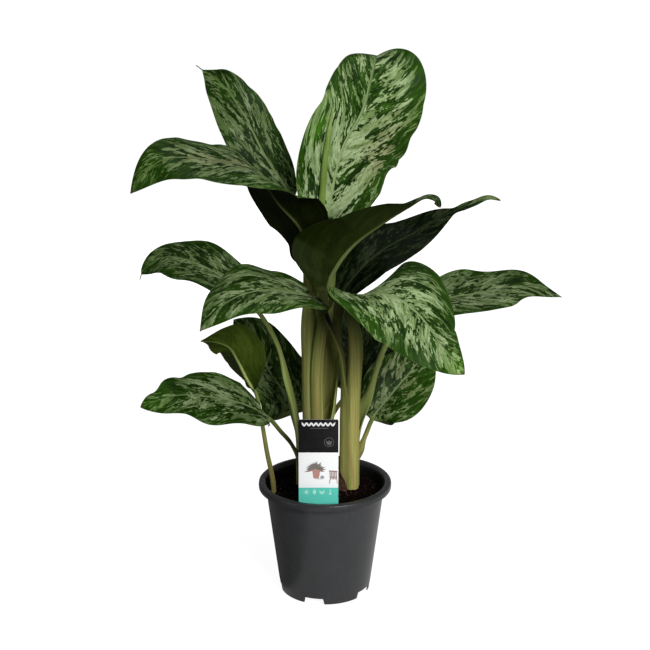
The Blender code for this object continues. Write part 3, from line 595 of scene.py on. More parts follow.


# shade, under, stem, neck and the shade spots are painted shade and painted light, set leaf by leaf: low
# for leaves, undersides and petiole tops that lie in shadow, above 1 where lit more.
LEAVES = {
    "crown": grow(
        "main", "inner", 75, 300, petiole=[(0, 41, 430)],
        blade=[(2, 45, 457), (9, 45, 515), (23, 50, 570), (46, 63, 611), (56, 89, 643), (63, 120, 665.2),
               (67, 162, 667.5)],
        face=[(38, 23), (23, 18), (36, 3), (47, 61), (-34, 72)], width=152.2, fold=[0, 0, 5, 0, 20],
        curl=[1, 29, 28, 24, 1], form=(0.52, 0.6), wave=(3, 2.5, 0.6), lean=0.28, hold=1.5, sheath=1.65,
        dents=[(0.6, 1, 0.05, 0.04), (0.3, 1, 0.1, 0.12), (0.52, -1, 0.03, 0.05), (0.97, 1, 0.02, 0.05)],
        silver=(0.66, 0.1), base=0.1, tip=-0.34, shade=1.05, neck=0.2, sweep=(0.8, 0.35), draw=1.7,
        spots=[("warm", 0.45, 0.62, 0.16, 0.28, 0.7), ("lime", 0.42, -0.72, 0.05, 0.1, 0.7),
               ("silver", 0.45, -0.85, 0.4, 0.3, 0.26), ("silver", 0.24, 0.5, 0.14, 0.35, 0.2),
               ("silver", 0.66, -0.2, 0.12, 0.4, -0.35)]),
    "upper_left": grow(
        "main", "inner", 145, 300, petiole=[(-26, 56, 455)],
        blade=[(-41, 69, 498), (-77, 88, 553), (-104, 105, 603), (-130, 120, 636), (-157, 152, 650),
               (-165.5, 157, 655.5)],
        face=[(-10, 25), (-14, 46), (10, 45), (-27, 31), (-1, 35)], width=72, fold=[14, 3, 0, 14, 6],
        curl=[8, 12, 14, 12, 6], form=(0.73, 0.94), lean=-0.08, tail=(0.955, 0.7),
        dents=[(0.86, 1, 0.08, 0.03), (0.66, 1, 0.06, 0.03), (0.42, 1, 0.05, 0.04)],
        silver=(0.46, 0.24), base=-0.05, tip=0, shade=0.6, sweep=(1.5, 0.3),
        spots=[("lime", 0.8, 0, 0.14, 0.4, 0.5)]),
    "arching_left": grow(
        "main", "inner", 214, 300, petiole=[(-21, 18, 370)],
        blade=[(-18, 27, 419), (-29, 24, 468), (-56, 9, 506), (-84, -21, 552), (-141, -55, 572),
               (-190, -81, 573), (-223, -86, 537)],
        face=[(161, 33), (166, 36), (70, 74), (-28, 64), (-17, 43), (-20, 24)], width=114,
        fold=[14, 16, 8, 9, 0], curl=[11, 9, 17, 20, 19], form=(0.7, 0.9), wave=(3.5, 2.5, 0.2),
        lean=-0.04, sheath=1.3,
        dents=[(0.74, -1, 0.08, 0.04), (0.56, -1, -0.06, 0.08), (0.6, 1, 0.05, 0.03),
               (0.78, 1, 0.04, 0.03)],
        silver=(0.54, 0.26), base=0.1, shade=0.62, under=(0.15, 0.8), stem=1.3, neck=0.9, sap=0.35,
        sweep=(1.2, 0.2),
        spots=[("warm", 0.6, 0, 0.2, 0.3, 0.7), ("lime", 0.95, 0, 0.1, 0.9, 0.5),
               ("lime", 0.4, -0.6, 0.1, 0.3, 0.5)]),
    "upright_right": grow(
        "main", "inner", -70, 300, petiole=[(0, 4, 366)],
        blade=[(0, 6, 395), (14, 4, 427), (34, 5, 454), (68, 8, 480), (104, 24, 499), (124, 34, 507.5),
               (138, 40, 504.5), (143, 40, 494)],
        face=[(-125, 8), (-154, 37), (-115, 55), (-114, 58), (-85, 76), (0, 25)], width=102.7,
        fold=[39, 44, 46, 34, 9], curl=[14, 13, 29, 20, 10], form=(0.46, 1.1), wave=(2, 2.5, 0.2),
        lean=0.25, tail=(0.83, 9.2), hold=1.3, sheath=1.45,
        dents=[(0.84, 1, 0.3, 0.03), (0.84, -1, 0.3, 0.03), (0.03, -1, 0.7, 0.12), (0.05, 1, 0.35, 0.05)],
        silver=(0.5, 0.25), shade=0.4, under=(0.31, 0.34), neck=0.2),
    "slender_right": grow(
        "main", "inner", 4, 190, petiole=[(9, 17, 242), (12, 23, 290), (13.5, 29, 335)],
        blade=[(17, 31, 373), (54, 49, 422), (121, 89, 455), (158, 94, 475), (189, 96, 487.5),
               (211, 98, 495), (224.5, 98, 491)],
        face=[(-27, 28), (-23, 39), (-13, 49), (-22, 39), (0, 55)], width=71.1, fold=[11, 22, 5, 10, 5],
        curl=[10, 10, 13, 8, 5], form=(0.69, 0.89), tail=(0.76, 6.2), hold=2, sheath=1.4,
        dents=[(0.77, 1, 0.3, 0.03), (0.77, -1, 0.3, 0.03)],
        silver=(0.3, 0.22), base=0, tip=0.35, shade=0.088, under=(0.05, 0.5), stem=1.7, neck=0.2, sap=0.4,
        sweep=(1.2, 0.3), spots=[("shade", 1, 0, 0.17, 3, 0.5), ("lime", 1, 0, 0.15, 3, 0.3)]),
    "front_right": grow(
        "right", "inner", -56, 240, petiole=[(36.5, -9, 338)],
        blade=[(33, -35, 386), (42, -62, 410), (83, -89, 414), (105, -101, 401), (136, -123, 365),
               (162, -126, 332)],
        face=[(90, 70), (43, 69), (17, 43), (39, 41), (20, 40)], width=133.5, fold=[13, 8, 7, -8, -2],
        curl=[7, 1, 28, 22, 19], form=(0.53, 0.84), wave=(4, 2.5, 0.2), lean=-0.03, hold=1.25,
        sheath=1.15, dents=[(0.12, 1, 0.42, 0.06)],
        silver=(0.61, 0.2), base=0.08, tip=-0.22, shade=0.94, stem=1.28, neck=0.3, sweep=(0.8, 0.2),
        draw=1.2,
        spots=[("shade", 0.34, -0.95, 0.2, 0.3, -0.5), ("silver", 0.34, -0.9, 0.2, 0.25, -0.2),
               ("shade", 0, 0, 0.1, 3, -0.9), ("lime", 0.96, 0, 0.08, 0.9, 0.5)]),
    "far_right": grow(
        "right", "inner", 32, 200, petiole=[(60, 35, 263), (78, 52, 312)],
        blade=[(106, 62, 348), (155, 75, 367), (200, 85, 372), (253, 95, 379), (310, 105, 361)],
        face=[(0, 50), (10, 55), (5, 50), (0, 50), (0, 60)], width=70.5, curl=[5, 8, 12, 15, 10],
        form=(0.65, 1), wave=(5, 2.5, 0.2), hold=0.62,
        dents=[(0.76, 1, 0.25, 0.08), (0.32, 1, 0.14, 0.1)],
        silver=(0.58, 0.3), base=-0.15, tip=-0.1, shade=0.55, stem=1.35, sap=0.8, sweep=(1.2, 0.3)),
    "far_left": grow(
        "main", "outer", 172, 190, petiole=[(-46, 30, 258), (-63, 56, 316)],
        blade=[(-97, 88, 359), (-131, 108, 385), (-170, 128, 401), (-213, 148, 404), (-247.5, 159, 375),
               (-249, 160, 369.5)],
        face=[(-20, 60), (-10, 65), (-10, 60), (0, 55), (0, 60)], width=76, curl=[5, 8, 12, 15, 10],
        form=(0.65, 0.75), tail=(0.955, 0.7),
        silver=(0.46, 0.26), base=0, tip=-0.1, shade=0.72, stem=1.35, neck=0.6, sap=0.9, sweep=(1.2, 0.3),
        spots=[("lime", 0.95, 0, 0.16, 0.9, 0.55)]),
    "front_left": grow(
        "right", "inner", 217, 220, petiole=[(19, -8, 324), (6, -20, 361)],
        blade=[(-6, -32, 392), (-39, -62, 412), (-78, -95, 424), (-113, -125, 418), (-142, -148, 391)],
        face=[(-20, 60), (-20, 65), (-22, 60), (-28, 50), (-35, 45)], width=112, fold=[16, 12, 10, 5, 0],
        curl=[5, 8, 14, 18, 15], form=(0.6, 1), hold=0.7, dents=[(0.095, 1, 0.35, 0.06)],
        silver=(0.56, 0.22), base=0.05, tip=-0.15, shade=0.84, stem=1.1, neck=0.3, sweep=(1.2, 0.3),
        spots=[("shade", 0, 0, 0.16, 3, -0.62)]),
    "low_left": grow(
        "main", "outer", 212, 155, petiole=[(-40, -12, 198), (-55, -24, 222)],
        blade=[(-68, -36, 243), (-98, -62, 272), (-136, -83, 289), (-173, -102, 298), (-217, -116, 288)],
        face=[(-9, 70), (-4, 59), (-11, 57), (-24, 47), (-10, 39)], width=82, fold=[8, 13, 2, 5, 5],
        curl=[9, 10, 13, 13, 15], form=(0.64, 0.8), wave=(4, 2.5, 0.2), sheath=1.5,
        dents=[(0.88, 1, 0.35, 0.05), (0.68, 1, 0.1, 0.04), (0.1, 1, 0.35, 0.08)],
        silver=(0.54, 0.26), base=0.1, tip=-0.35, shade=0.7, stem=0.65, sap=0.3, sweep=(1.1, 0.2),
        spots=[("lime", 0.92, 0, 0.12, 0.9, 0.45)]),
    "side_shoot": grow(
        None, SIDE_SHOOT, 170, 140, petiole=[(-74, -8, 191), (-80, -9, 232)],
        blade=[(-88, -12, 273), (-96, -17, 289), (-108, -24, 317), (-117, -33, 335), (-131, -42, 345),
               (-150.3, -48, 348.5)],
        face=[(138, 25), (152, 46), (189, 17), (158, 52)], width=79.8, fold=[13, 27, 18, 20, 8],
        curl=[10, 19, 3, 8, 1], form=(0.95, 0.91), wave=(2, 2.5, 0.2), lean=0.06,
        dents=[(0.58, 1, 0.55, 0.24)],
        silver=(0.5, 0.3), shade=0.6, under=(1, 1), stem=0.95),
    "back_left": grow(
        "main", "outer", 136, 160, petiole=[(-33, 50, 182), (-38, 56, 197)],
        blade=[(-43, 62, 213), (-50, 77, 231), (-72, 84, 264), (-93, 117, 302), (-123, 146, 318)],
        face=[(-20, 43), (3, 21), (6, 26), (-10, 27)], width=113.6, fold=[0, 2, 12, 9, 0],
        curl=[11, 12, 14, 5, 4], form=(0.4, 0.86), lean=-0.19,
        dents=[(0.28, -1, 0.5, 0.25), (0.55, -1, 0.3, 0.18)],
        silver=(0.38, 0.24), base=0, shade=0.6),
    "low_right": grow(
        "right", "outer", 75, 155, petiole=[(44, 32, 173), (53, 40, 194)],
        blade=[(61, 46, 212), (85, 60, 240), (109, 76, 264), (130, 94, 283), (153, 116, 292)],
        face=[(10, 40), (5, 35), (5, 35), (5, 35)], width=88, form=(0.6, 1.1),
        silver=(0.42, 0.3), base=-0.1, tip=-0.1, shade=0.73, stem=0.85,
        spots=[("lime", 0.5, 0.6, 0.4, 0.6, 0.22), ("warm", 0.5, 0, 0.4, 1.2, 0.35)]),
    "back_low": grow(
        "main", "outer", 62, 170, petiole=[(3, 55, 201), (16, 74, 219)],
        blade=[(30, 86, 236), (34, 98, 266), (36, 114, 300), (41, 142, 327), (47, 182, 342)],
        face=[(10, 40), (10, 40), (10, 40), (10, 50)], width=118,
        silver=(0.42, 0.2), shade=0.16),
    "back_high": grow(
        "main", "outer", 99, 240, petiole=[(-10, 44, 370)],
        blade=[(-6, 64, 425), (0, 105, 462), (8, 155, 470), (14, 205, 448), (18, 245, 405)],
        face=[(0, 60), (0, 80), (180, 75), (180, 60)], width=95,
        silver=(0.66, 0.15), shade=0.85),
}


def along(values, share):
    """Evenly spaced values read at shares from 0 to 1."""
    return np.interp(share, np.linspace(0.0, 1.0, len(values)), values)


def read_at(place, stations, values):
    """Rows of values, known at the stations, read at other places."""
    return np.stack([np.interp(place, stations, column) for column in np.transpose(values)], -1)


def direction(azimuth, elevation):
    """The unit vector that points that way: azimuth from the front, elevation from level."""
    azimuth, elevation = radians(azimuth), radians(elevation)
    return (sin(azimuth) * cos(elevation), -cos(azimuth) * cos(elevation), sin(elevation))


def lengths(points):
    """The length along a line at each of its points."""
    return np.append(0.0, np.cumsum(np.linalg.norm(np.diff(points, axis=0), axis=1)))


def smooth_curve(points):
    """Dense points on a cubic Hermite curve through the given ones, whose tangents weight
    the neighbouring slopes by the opposite spans, with the arc length along it and at the
    given points."""
    points = np.asarray(points, float)
    knots = lengths(points)
    spans = np.diff(knots)[:, None]
    slopes = np.diff(points, axis=0) / spans
    tangents = np.empty_like(points)
    tangents[1:-1] = (slopes[:-1] * spans[1:] + slopes[1:] * spans[:-1]) / (spans[:-1] + spans[1:])
    tangents[0] = 1.5 * slopes[0] - 0.5 * tangents[1]
    tangents[-1] = 1.5 * slopes[-1] - 0.5 * tangents[-2]
    sample = np.linspace(0.0, knots[-1], SPINE_SAMPLES)
    part = np.clip(np.searchsorted(knots, sample, side="right") - 1, 0, len(spans) - 1)
    span = spans[part]
    t = (sample - knots[part])[:, None] / span
    dense = ((2 * t**3 - 3 * t**2 + 1) * points[part] + (t**3 - 2 * t**2 + t) * span * tangents[part]
             + (3 * t**2 - 2 * t**3) * points[part + 1] + (t**3 - t**2) * span * tangents[part + 1])
    arc = lengths(dense)
    return dense, arc, np.interp(knots, sample, arc)


def leaf_frame(leaf):
    """The spine's rows: point, across and upper-side directions, length along, and where the
    blade starts and ends.  The petiole starts straight up, beside its cane or on its own."""
    outward, rise = radians(leaf["angle"]), leaf["rise"] / 1000
    if leaf["shoot"]:
        shoot = SHOOTS[leaf["shoot"]]
        foot = at_angle(shoot[leaf["ring"]], outward, SOIL_TOP + TOUCH_GAP, shoot["axis"])
    else:
        foot = np.array([*leaf["ring"], SOIL_TOP - SIDE_SHOOT_DEPTH])
    stem = [(foot[0], foot[1], foot[2] + share * (rise - foot[2])) for share in (0.0, 0.6, 1.0)]
    stem += [np.array(point) / 1000 for point in leaf["petiole"]]
    dense, arc, knots = smooth_curve(stem + [np.array(point) / 1000 for point in leaf["blade"]])
    base, end = knots[len(stem)], knots[-1]
    place = np.concatenate([np.linspace(0.0, base, PETIOLE_ROWS, endpoint=False),
                            base + (end - base) * np.linspace(0.0, 1.0, BLADE_ROWS) ** 1.04])
    forward = unit(read_at(place, arc, np.gradient(dense, arc, axis=0)))
    faces = [(-cos(outward), -sin(outward), FOOT_FACING)] + [direction(*way) for way in leaf["face"]]
    wanted = read_at(place, np.append(0.0, np.linspace(base, end, len(leaf["face"]))), faces)
    normal = unit(wanted - (wanted * forward).sum(-1, keepdims=True) * forward)
    return read_at(place, arc, dense), np.cross(forward, normal), normal, place[:, None], base, end


def leaf_surface(leaf, number):
    """The upper and the lower skin as two grids of points, and what the finish reads.

    Across the blade each half is an arc of a circle: it leaves the midrib at the fold's
    angle and turns down by the curl's.  The outline is b^p (1-b)^q of the share b along, up
    to the tail, where hypot joins it to the drip tip's width t ease(b) sqrt(1 - b^8); a dent
    takes away the share d exp(-((b - at) / long)^2) of one side.  Side veins are the lines
    v = s - w g(r), with s the length along the midrib, w the half-width, r the share of it
    and g(r) = (a r + c r^2)(1 + b/2); the skin sinks there.
    """
    spine, across, normal, place, base, end = leaf_frame(leaf)
    blade = np.clip((place - base) / (end - base), 0.0, 1.0)
    stalk_share = place / base
    opened = ease(blade / OPENING)
    petiole = PETIOLES[leaf["ring"] if leaf["shoot"] else "bare"]
    stalk = along(petiole["stalk"], stalk_share)
    sheath_share = stalk_share / (petiole["end"] * leaf["hold"])
    sheath = petiole["sheathed"] * ease(SHEATH_HOLD * (1.0 - sheath_share))
    first, last = leaf["form"]
    widest, widths = first / (first + last), leaf["width"] / 1000
    body = np.clip(blade / leaf["tail"][0], 0.0, 1.0)
    outline = (body / widest) ** first * ((1.0 - body) / (1.0 - widest)) ** last
    tail = 2.0 * leaf["tail"][1] / leaf["width"] * ease(body) * (1.0 - blade**8) ** 0.5
    foot = petiole["foot"] * leaf["sheath"]
    neck = (stalk + (foot - stalk) * sheath) * np.clip(1.0 - 4.0 * blade, 0.0, 1.0)
    half_width = np.maximum(np.maximum(widths / 2 * np.hypot(outline, tail), neck), TIP_HALF_WIDTH)
    half_width *= 1.0 + (STALK_SPREAD - 1.0) * (1.0 - opened) * (1.0 - sheath)

    stalk_curl = STALK_DOME * (1.0 - sheath) - radians(petiole["wrap"]) * sheath
    fold = np.radians(along(leaf["fold"], blade)) * opened
    curl = np.radians(along(leaf["curl"], blade)) * opened + stalk_curl * (1.0 - opened) + 1e-4
    steps = np.linspace(-1.0, 1.0, 2 * HALF_COLUMNS + 1)[None, :]
    side, reach = np.sign(steps), np.abs(steps) ** COLUMN_SPREAD
    angle = fold - curl * reach
    half = half_width * (1.0 + leaf["lean"] * side * opened)
    for at, dent_side, depth, long in leaf["dents"]:
        half = half * (1.0 - depth * (side == dent_side) * np.exp(-((blade - at) / long) ** 2))
    x = half / curl * side * (np.sin(fold) - np.sin(angle))
    z = half / curl * (np.cos(angle) - np.cos(fold))
    height, count, phase = leaf["wave"]
    ripple = np.sin(2 * pi * count * blade + phase + 1.7 * (side < 0))
    fade = opened * np.clip(6 * (1 - blade), 0, 1) * np.minimum(1, 2.6 * half_width / widths)
    z = z + height / 1000 * ripple * reach**WAVE_ONSET * fade

    lean_in, lean_out = leaf["sweep"]
    width = half_width * opened
    lean = (lean_in * reach + lean_out * reach**2) * (1.0 + 0.5 * blade)
    vein = np.maximum(place - base, 0.0) - width * lean
    slant = np.hypot(1.0, 1.25 * (lean_in + lean_out))
    vein_turn = vein / VEIN_SPACING + 0.31 * side
    near_vein = np.abs(vein_turn % 1.0 - 0.5) * 2
    quilt = (1 - near_vein**2) * 0.45 + 0.55 * (1 - ease((near_vein - 0.80) / 0.20))
    calm = opened * ease(width / 0.016) * ease(reach / 0.10) * ease((1 - reach) / 0.22)
    relief = VEIN_RELIEF * (quilt - 1.0) * calm
    groove = MIDRIB_GROOVE * (1 - ease(np.abs(x) / 0.0022)) * opened * (1 - 0.8 * blade)

    on_blade = blade > 0
    stalk_depth = 2 * stalk * ROUND - 0.001
    rib_depth = np.where(on_blade, along([MIDRIB_DEPTH, MIDRIB_TIP_DEPTH], blade),
                         stalk_depth * (1 - 0.4 * sheath))
    rib_depth += (stalk_depth - MIDRIB_DEPTH) * on_blade * np.clip(1 - blade / 0.12, 0, 1)
    rib_width = np.where(on_blade, along([MIDRIB_HALF_WIDTH, TIP_HALF_WIDTH], blade),
                         np.abs(x).max(axis=1, keepdims=True))
    hump = np.clip(1.0 - np.clip(np.abs(x) / rib_width, 0, 1) ** 2, 0, 1)
    rib = rib_depth * hump ** (0.5 + 0.7 * ease(blade / 0.15))
    thick = BLADE_THICKNESS + (MARGIN_THICKNESS - BLADE_THICKNESS) * reach**1.5
    lift = (0.001 + rib_depth) / 2 * (1.0 - opened) * (1.0 - SHEATH_DROP * sheath)
    tilt = np.where(side == 0, 0.0, angle * opened)

    def laid(x, z):
        """x across and z up, in the leaf's own directions at each row."""
        return x[..., None] * across[:, None] + z[..., None] * normal[:, None]

    upper = spine[:, None] + laid(x, z + relief - groove + lift)
    lower = spine[:, None] + laid(x, z + 0.7 * relief + lift)
    lower -= (thick + rib)[..., None] * laid(-side * np.sin(tilt), np.cos(tilt))
    maps = {
        "vein_map": (vein / slant + 0.6 * side, width * reach * slant / leaf["draw"],
                     PATTERN_STEP * number),
        "vein_turn": (vein_turn, 0, 0),
        "leaf_place": (blade, reach * side, x),
        "stalk_place": (stalk_share, place, opened),
    }
    maps = {key: np.stack(np.broadcast_arrays(*values, x)[:3], -1) for key, values in maps.items()}
    return upper, lower, maps


def leaf_tones(leaf, maps, under):
    """Silver share, shade, warmth and lime as smooth functions of the leaf's place."""
    blade, reach = maps["leaf_place"][..., 0], maps["leaf_place"][..., 1]
    stalk, spread = maps["stalk_place"][..., 0], np.minimum(1, 2.5 * maps["stalk_place"][..., 2])
    centre, margin = leaf["silver"]
    silver = centre + (margin - centre) * ease((np.abs(reach) - 0.45) / 0.55)
    silver += leaf["base"] * ease(1 - blade / 0.35) + leaf["tip"] * ease((blade - 0.62) / 0.38)
    # Painted shade: the petiole's brightness, darker up its top where it enters the plant's shaded
    # middle, and the blade's, upper side and underside apart.
    neck = leaf["stem"] if leaf["neck"] is None else leaf["neck"]
    stem = leaf["stem"] + (neck - leaf["stem"]) * ease((stalk - 0.72) / 0.28)
    inner, outer = leaf["under"] if under else (leaf["shade"], leaf["shade"])
    shade = inner + (outer - inner) * ease((blade - 0.40) / 0.25)
    tones = {"silver": silver, "shade": stem + (shade - stem) * spread, "warm": 0 * blade,
             "lime": leaf["sap"] * (1.0 - spread)}
    for tone, at, across, long, wide, amount in leaf["spots"]:
        if tone != "shade" or not under:
            blob = np.exp(-((blade - at) / long) ** 2 - ((reach - across) / wide) ** 2)
            tones[tone] = tones[tone] + amount * blob
    return np.stack(list(tones.values()), -1).reshape(-1, 4)


def mat_leaf():
    """One finish for every leaf, told apart by what the leaves' points carry.

    Blade: three sizes of noise, drawn out along the side veins, are cut off at the silver
    share; silver and green are each mottled by the same noise, and pale veins cross them.
    Underside: plain olive with paler veins.  Petiole: cream and olive strands, tan at the
    foot, or green where the leaf is sappy.  All of it is then darkened or lightened by the
    painted shade that the leaf's points carry in their tone.
    """
    mat = Finish("leaf", Specular_IOR_Level=0.045)

    def read(name, out="Vector"):
        """What the leaf's points carry under a name."""
        return mat.add("Attribute", out=out, attribute_name=name)

    def marks(vector, *grains):
        """One noise for each (grains, detail, roughness, distortion)."""
        return [mat.noise(scale, *shape, vector=vector) for scale, *shape in grains]

    veins = read("vein_map")
    blade, reach, beside = mat.add("SeparateXYZ", {0: read("leaf_place")}, None)
    stalk, length, opened = mat.add("SeparateXYZ", {0: read("stalk_place")}, None)
    silver, shade, warm = mat.add("SeparateColor", {0: read("tone", "Color")}, None)
    lime, upward = read("tone", "Alpha"), read("upward", "Fac")
    out, beside = mat.maths("ABSOLUTE", reach), mat.maths("ABSOLUTE", beside)

    # Patches of silver: long ones along the veins, ragged by smaller rounder ones
    big, middle, small, second, grain = marks(
        veins, ((84.0, 32.0, 1.0), 1.5, 0.5, 0.8), ((200.0, 88.0, 1.7), 2.0, 0.6, 0.8),
        ((500.0, 300.0, 2.3), 2.0, 0.6), ((150.0, 34.0, 3.1), 2.5, 0.6, 0.6),
        ((900.0, 320.0, 3.9), 2.0, 0.6))
    level = mat.weighed((big, 0.40), (middle, 0.36), (small, 0.24))
    patch = mat.between(mat.centred(level, 8.5, silver), 0.43, 0.57)
    level = mat.weighed((second, 0.55), (middle, 0.20), (small, 0.25))
    brighter = mat.between(mat.centred(level, 5.0, silver), 0.28, 1.05)
    mottle = mat.weighed((middle, 0.45), (second, 0.30), (small, 0.25))
    green = mat.coated(
        (0.0050, 0.0180, 0.0010),
        (mat.between(mottle, 0.41, 0.60), (0.0330, 0.0840, 0.0080)),
        (mat.between(out, 0.55, 0.90, 0.0, 0.40), (0.0170, 0.0600, 0.0015)),
        (mat.times(lime, 0.8), (0.045, 0.165, 0.003)))
    pale = mat.coated(
        (0.110, 0.175, 0.054),
        (brighter, (0.285, 0.370, 0.185)),
        (mat.between(out, 0.70, 1.0, 0.0, 0.55), (0.095, 0.175, 0.036)),
        (mat.times(warm, 0.55), (0.36, 0.31, 0.175)),
        (mat.times(lime, 0.75), (0.155, 0.330, 0.018)))

    # Side veins, midrib, margin, tip
    turn = mat.add("SeparateXYZ", {0: read("vein_turn")})
    turn = mat.maths("FRACT", mat.centred(second, 0.35, turn))
    side_vein = mat.between(mat.maths("ABSOLUTE", mat.minus(turn, 0.5)), 0.44, 0.49)
    side_vein = mat.times(side_vein, mat.between(out, 0.85, 0.25, 0.0, 0.30))

    def midrib(foot, taper, start, end, strong, weak):
        """1 on the midrib, whose half-width and strength fall off towards the tip."""
        edge = mat.minus(foot, mat.times(blade, taper))
        ridge = mat.between(mat.minus(edge, beside), -0.0003, 0.0005)
        return mat.times(ridge, mat.between(blade, start, end, strong, weak))

    upper = mat.coated(
        green, (patch, pale),
        (mat.times(side_vein, mat.maths("ADD", patch, 0.2)), (0.30, 0.39, 0.19)),
        (midrib(0.0017, 0.0012, 0.35, 0.95, 0.85, 0.30), (0.235, 0.320, 0.130)),
        (mat.between(out, 0.986, 1.0, 0.0, 0.35), (0.15, 0.21, 0.07)),
        (mat.between(blade, 0.978, 0.995), (0.085, 0.050, 0.022)))
    below = mat.coated(
        (0.026, 0.044, 0.0035),
        (mat.between(big, 0.38, 0.64), (0.042, 0.066, 0.0065)),
        (mat.times(side_vein, 0.8), (0.075, 0.105, 0.018)),
        (midrib(0.0021, 0.0016, 0.15, 0.75, 1.0, 0.20), (0.330, 0.400, 0.130)))

    # Petiole: pale and green strands side by side, blushed tan towards the foot
    own = mat.add("SeparateXYZ", {0: veins}, "Z")
    run = mat.add("CombineXYZ", {0: reach, 1: length, 2: own})
    stripes, strands, threads, blush = marks(
        run, ((4.5, 5.0, 1.0), 2.0, 0.6, 0.3), ((15.0, 7.0, 1.7), 3.0, 0.65),
        ((42.0, 16.0, 2.3), 2.0, 0.6), ((2.2, 14.0, 2.9), 3.0, 0.6))
    tan = mat.times(mat.between(blush, 0.42, 0.66, 0.0, 0.60), mat.between(stalk, 0.75, 0.10))
    sappy = mat.coated((0.125, 0.172, 0.036),
                       (mat.between(strands, 0.40, 0.64), (0.240, 0.285, 0.105)))
    stem = mat.coated(
        (0.285, 0.262, 0.080),
        (mat.between(out, 0.45, 1.0), (0.130, 0.165, 0.036)),
        (mat.between(stripes, 0.46, 0.62, 0.0, 0.75), (0.150, 0.178, 0.042)),
        (mat.between(strands, 0.52, 0.66, 0.0, 0.65), (0.345, 0.330, 0.125)),
        (mat.between(threads, 0.48, 0.34, 0.0, 0.50), (0.082, 0.098, 0.018)),
        (tan, (0.235, 0.140, 0.062)),
        (mat.between(stalk, 0.70, 1.0), (0.135, 0.175, 0.045)),
        (lime, sappy))
    colour = mat.coated(stem, (mat.between(opened, 0.0, 0.40), mat.coated(below, (upward, upper))))
    # Painted shade: the colour times each point's shade factor, with a fine grain.
    level = mat.times(shade, mat.between(grain, 0.25, 0.75, 0.78, 1.22))
    level = mat.add("CombineColor", {0: level, 1: level, 2: level})
    colour = mat.add("Mix", {0: 1.0, 6: colour, 7: level}, 2, data_type="RGBA",
                     blend_type="MULTIPLY")
    rough = mat.scaled(mat.minus(1.0, upward), 0.15, mat.scaled(small, 0.20, 0.34))
    relief = mat.weighed((mat.noise(2200.0, 2.0, 0.6), 1.0), (middle, 1.2))
    return mat.done(colour, relief, 0.00010, 0.6, rough)


def make_leaf(name, leaf, number, finish):
    """The two skins, closed along the margins, at the foot and at the tip."""
    upper, lower, maps = leaf_surface(leaf, number)
    rows, columns = upper.shape[:2]
    count = rows * columns
    top = np.arange(count).reshape(rows, columns)
    rim = np.concatenate([top[:, 0], top[-1, 1:], top[-2::-1, -1], top[0, -2:0:-1]])
    ahead = np.roll(rim, -1)
    faces = np.concatenate([grid_faces(rows, columns),
                            grid_faces(rows, columns, first=count)[:, ::-1],
                            np.stack([rim, ahead, ahead + count, rim + count], -1)])
    piece = new_piece(name, np.concatenate([upper, lower]), faces.tolist(), finish, sharp=55.0)
    tones = np.concatenate([leaf_tones(leaf, maps, False), leaf_tones(leaf, maps, True)])
    carried = {key: ("FLOAT_VECTOR", "vector", [values, values]) for key, values in maps.items()}
    carried["tone"] = ("FLOAT_COLOR", "color", tones)
    carried["upward"] = ("FLOAT", "value", np.repeat([1.0, 0.0], count))
    for key, (kind, part, values) in carried.items():
        attribute = piece.data.attributes.new(key, kind, "POINT")
        attribute.data.foreach_set(part, np.ravel(values))
    return piece


leaf_finish = mat_leaf()
for number, (name, leaf) in enumerate(LEAVES.items(), 1):
    foliage = make_leaf("foliage_" + name, leaf, number, leaf_finish)
    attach(foliage, "root")
    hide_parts("leaf_" + name)


# ---------------------------------------------------------------- new leaf
# The next leaf of the main shoot, still rolled up: a pale green spear.  It is one thin blade
# wound round itself, so a seam runs up it in a slow twist and its tip is a sharp point.

SPEAR_RADIUS = 0.0040
SPEAR_SEAM = 0.20               # how far the outer edge of the roll steps out, of the radius
SPEAR_SEAM_START = 0.9
SPEAR_TWIST = 1.8               # radians from foot to tip
SPEAR_FLAT = 0.55               # how deep it is against its width where it lies on the leaf


def mat_spear():
    """Pale olive green with fine lengthwise lines, paler in patches."""
    mat = Finish("young_leaf_green", Roughness=0.45, Specular_IOR_Level=0.18)
    lines = mat.noise((900.0, 900.0, 24.0), 3.0, 0.6)
    patches = mat.noise((90.0, 90.0, 30.0), 2.0)
    colour = mat.coated((0.100, 0.180, 0.024),
                        (mat.between(lines, 0.34, 0.68), (0.190, 0.285, 0.060)),
                        (mat.between(patches, 0.50, 0.72, 0.0, 0.5), (0.25, 0.34, 0.12)))
    return mat.done(colour, lines, 0.00015)


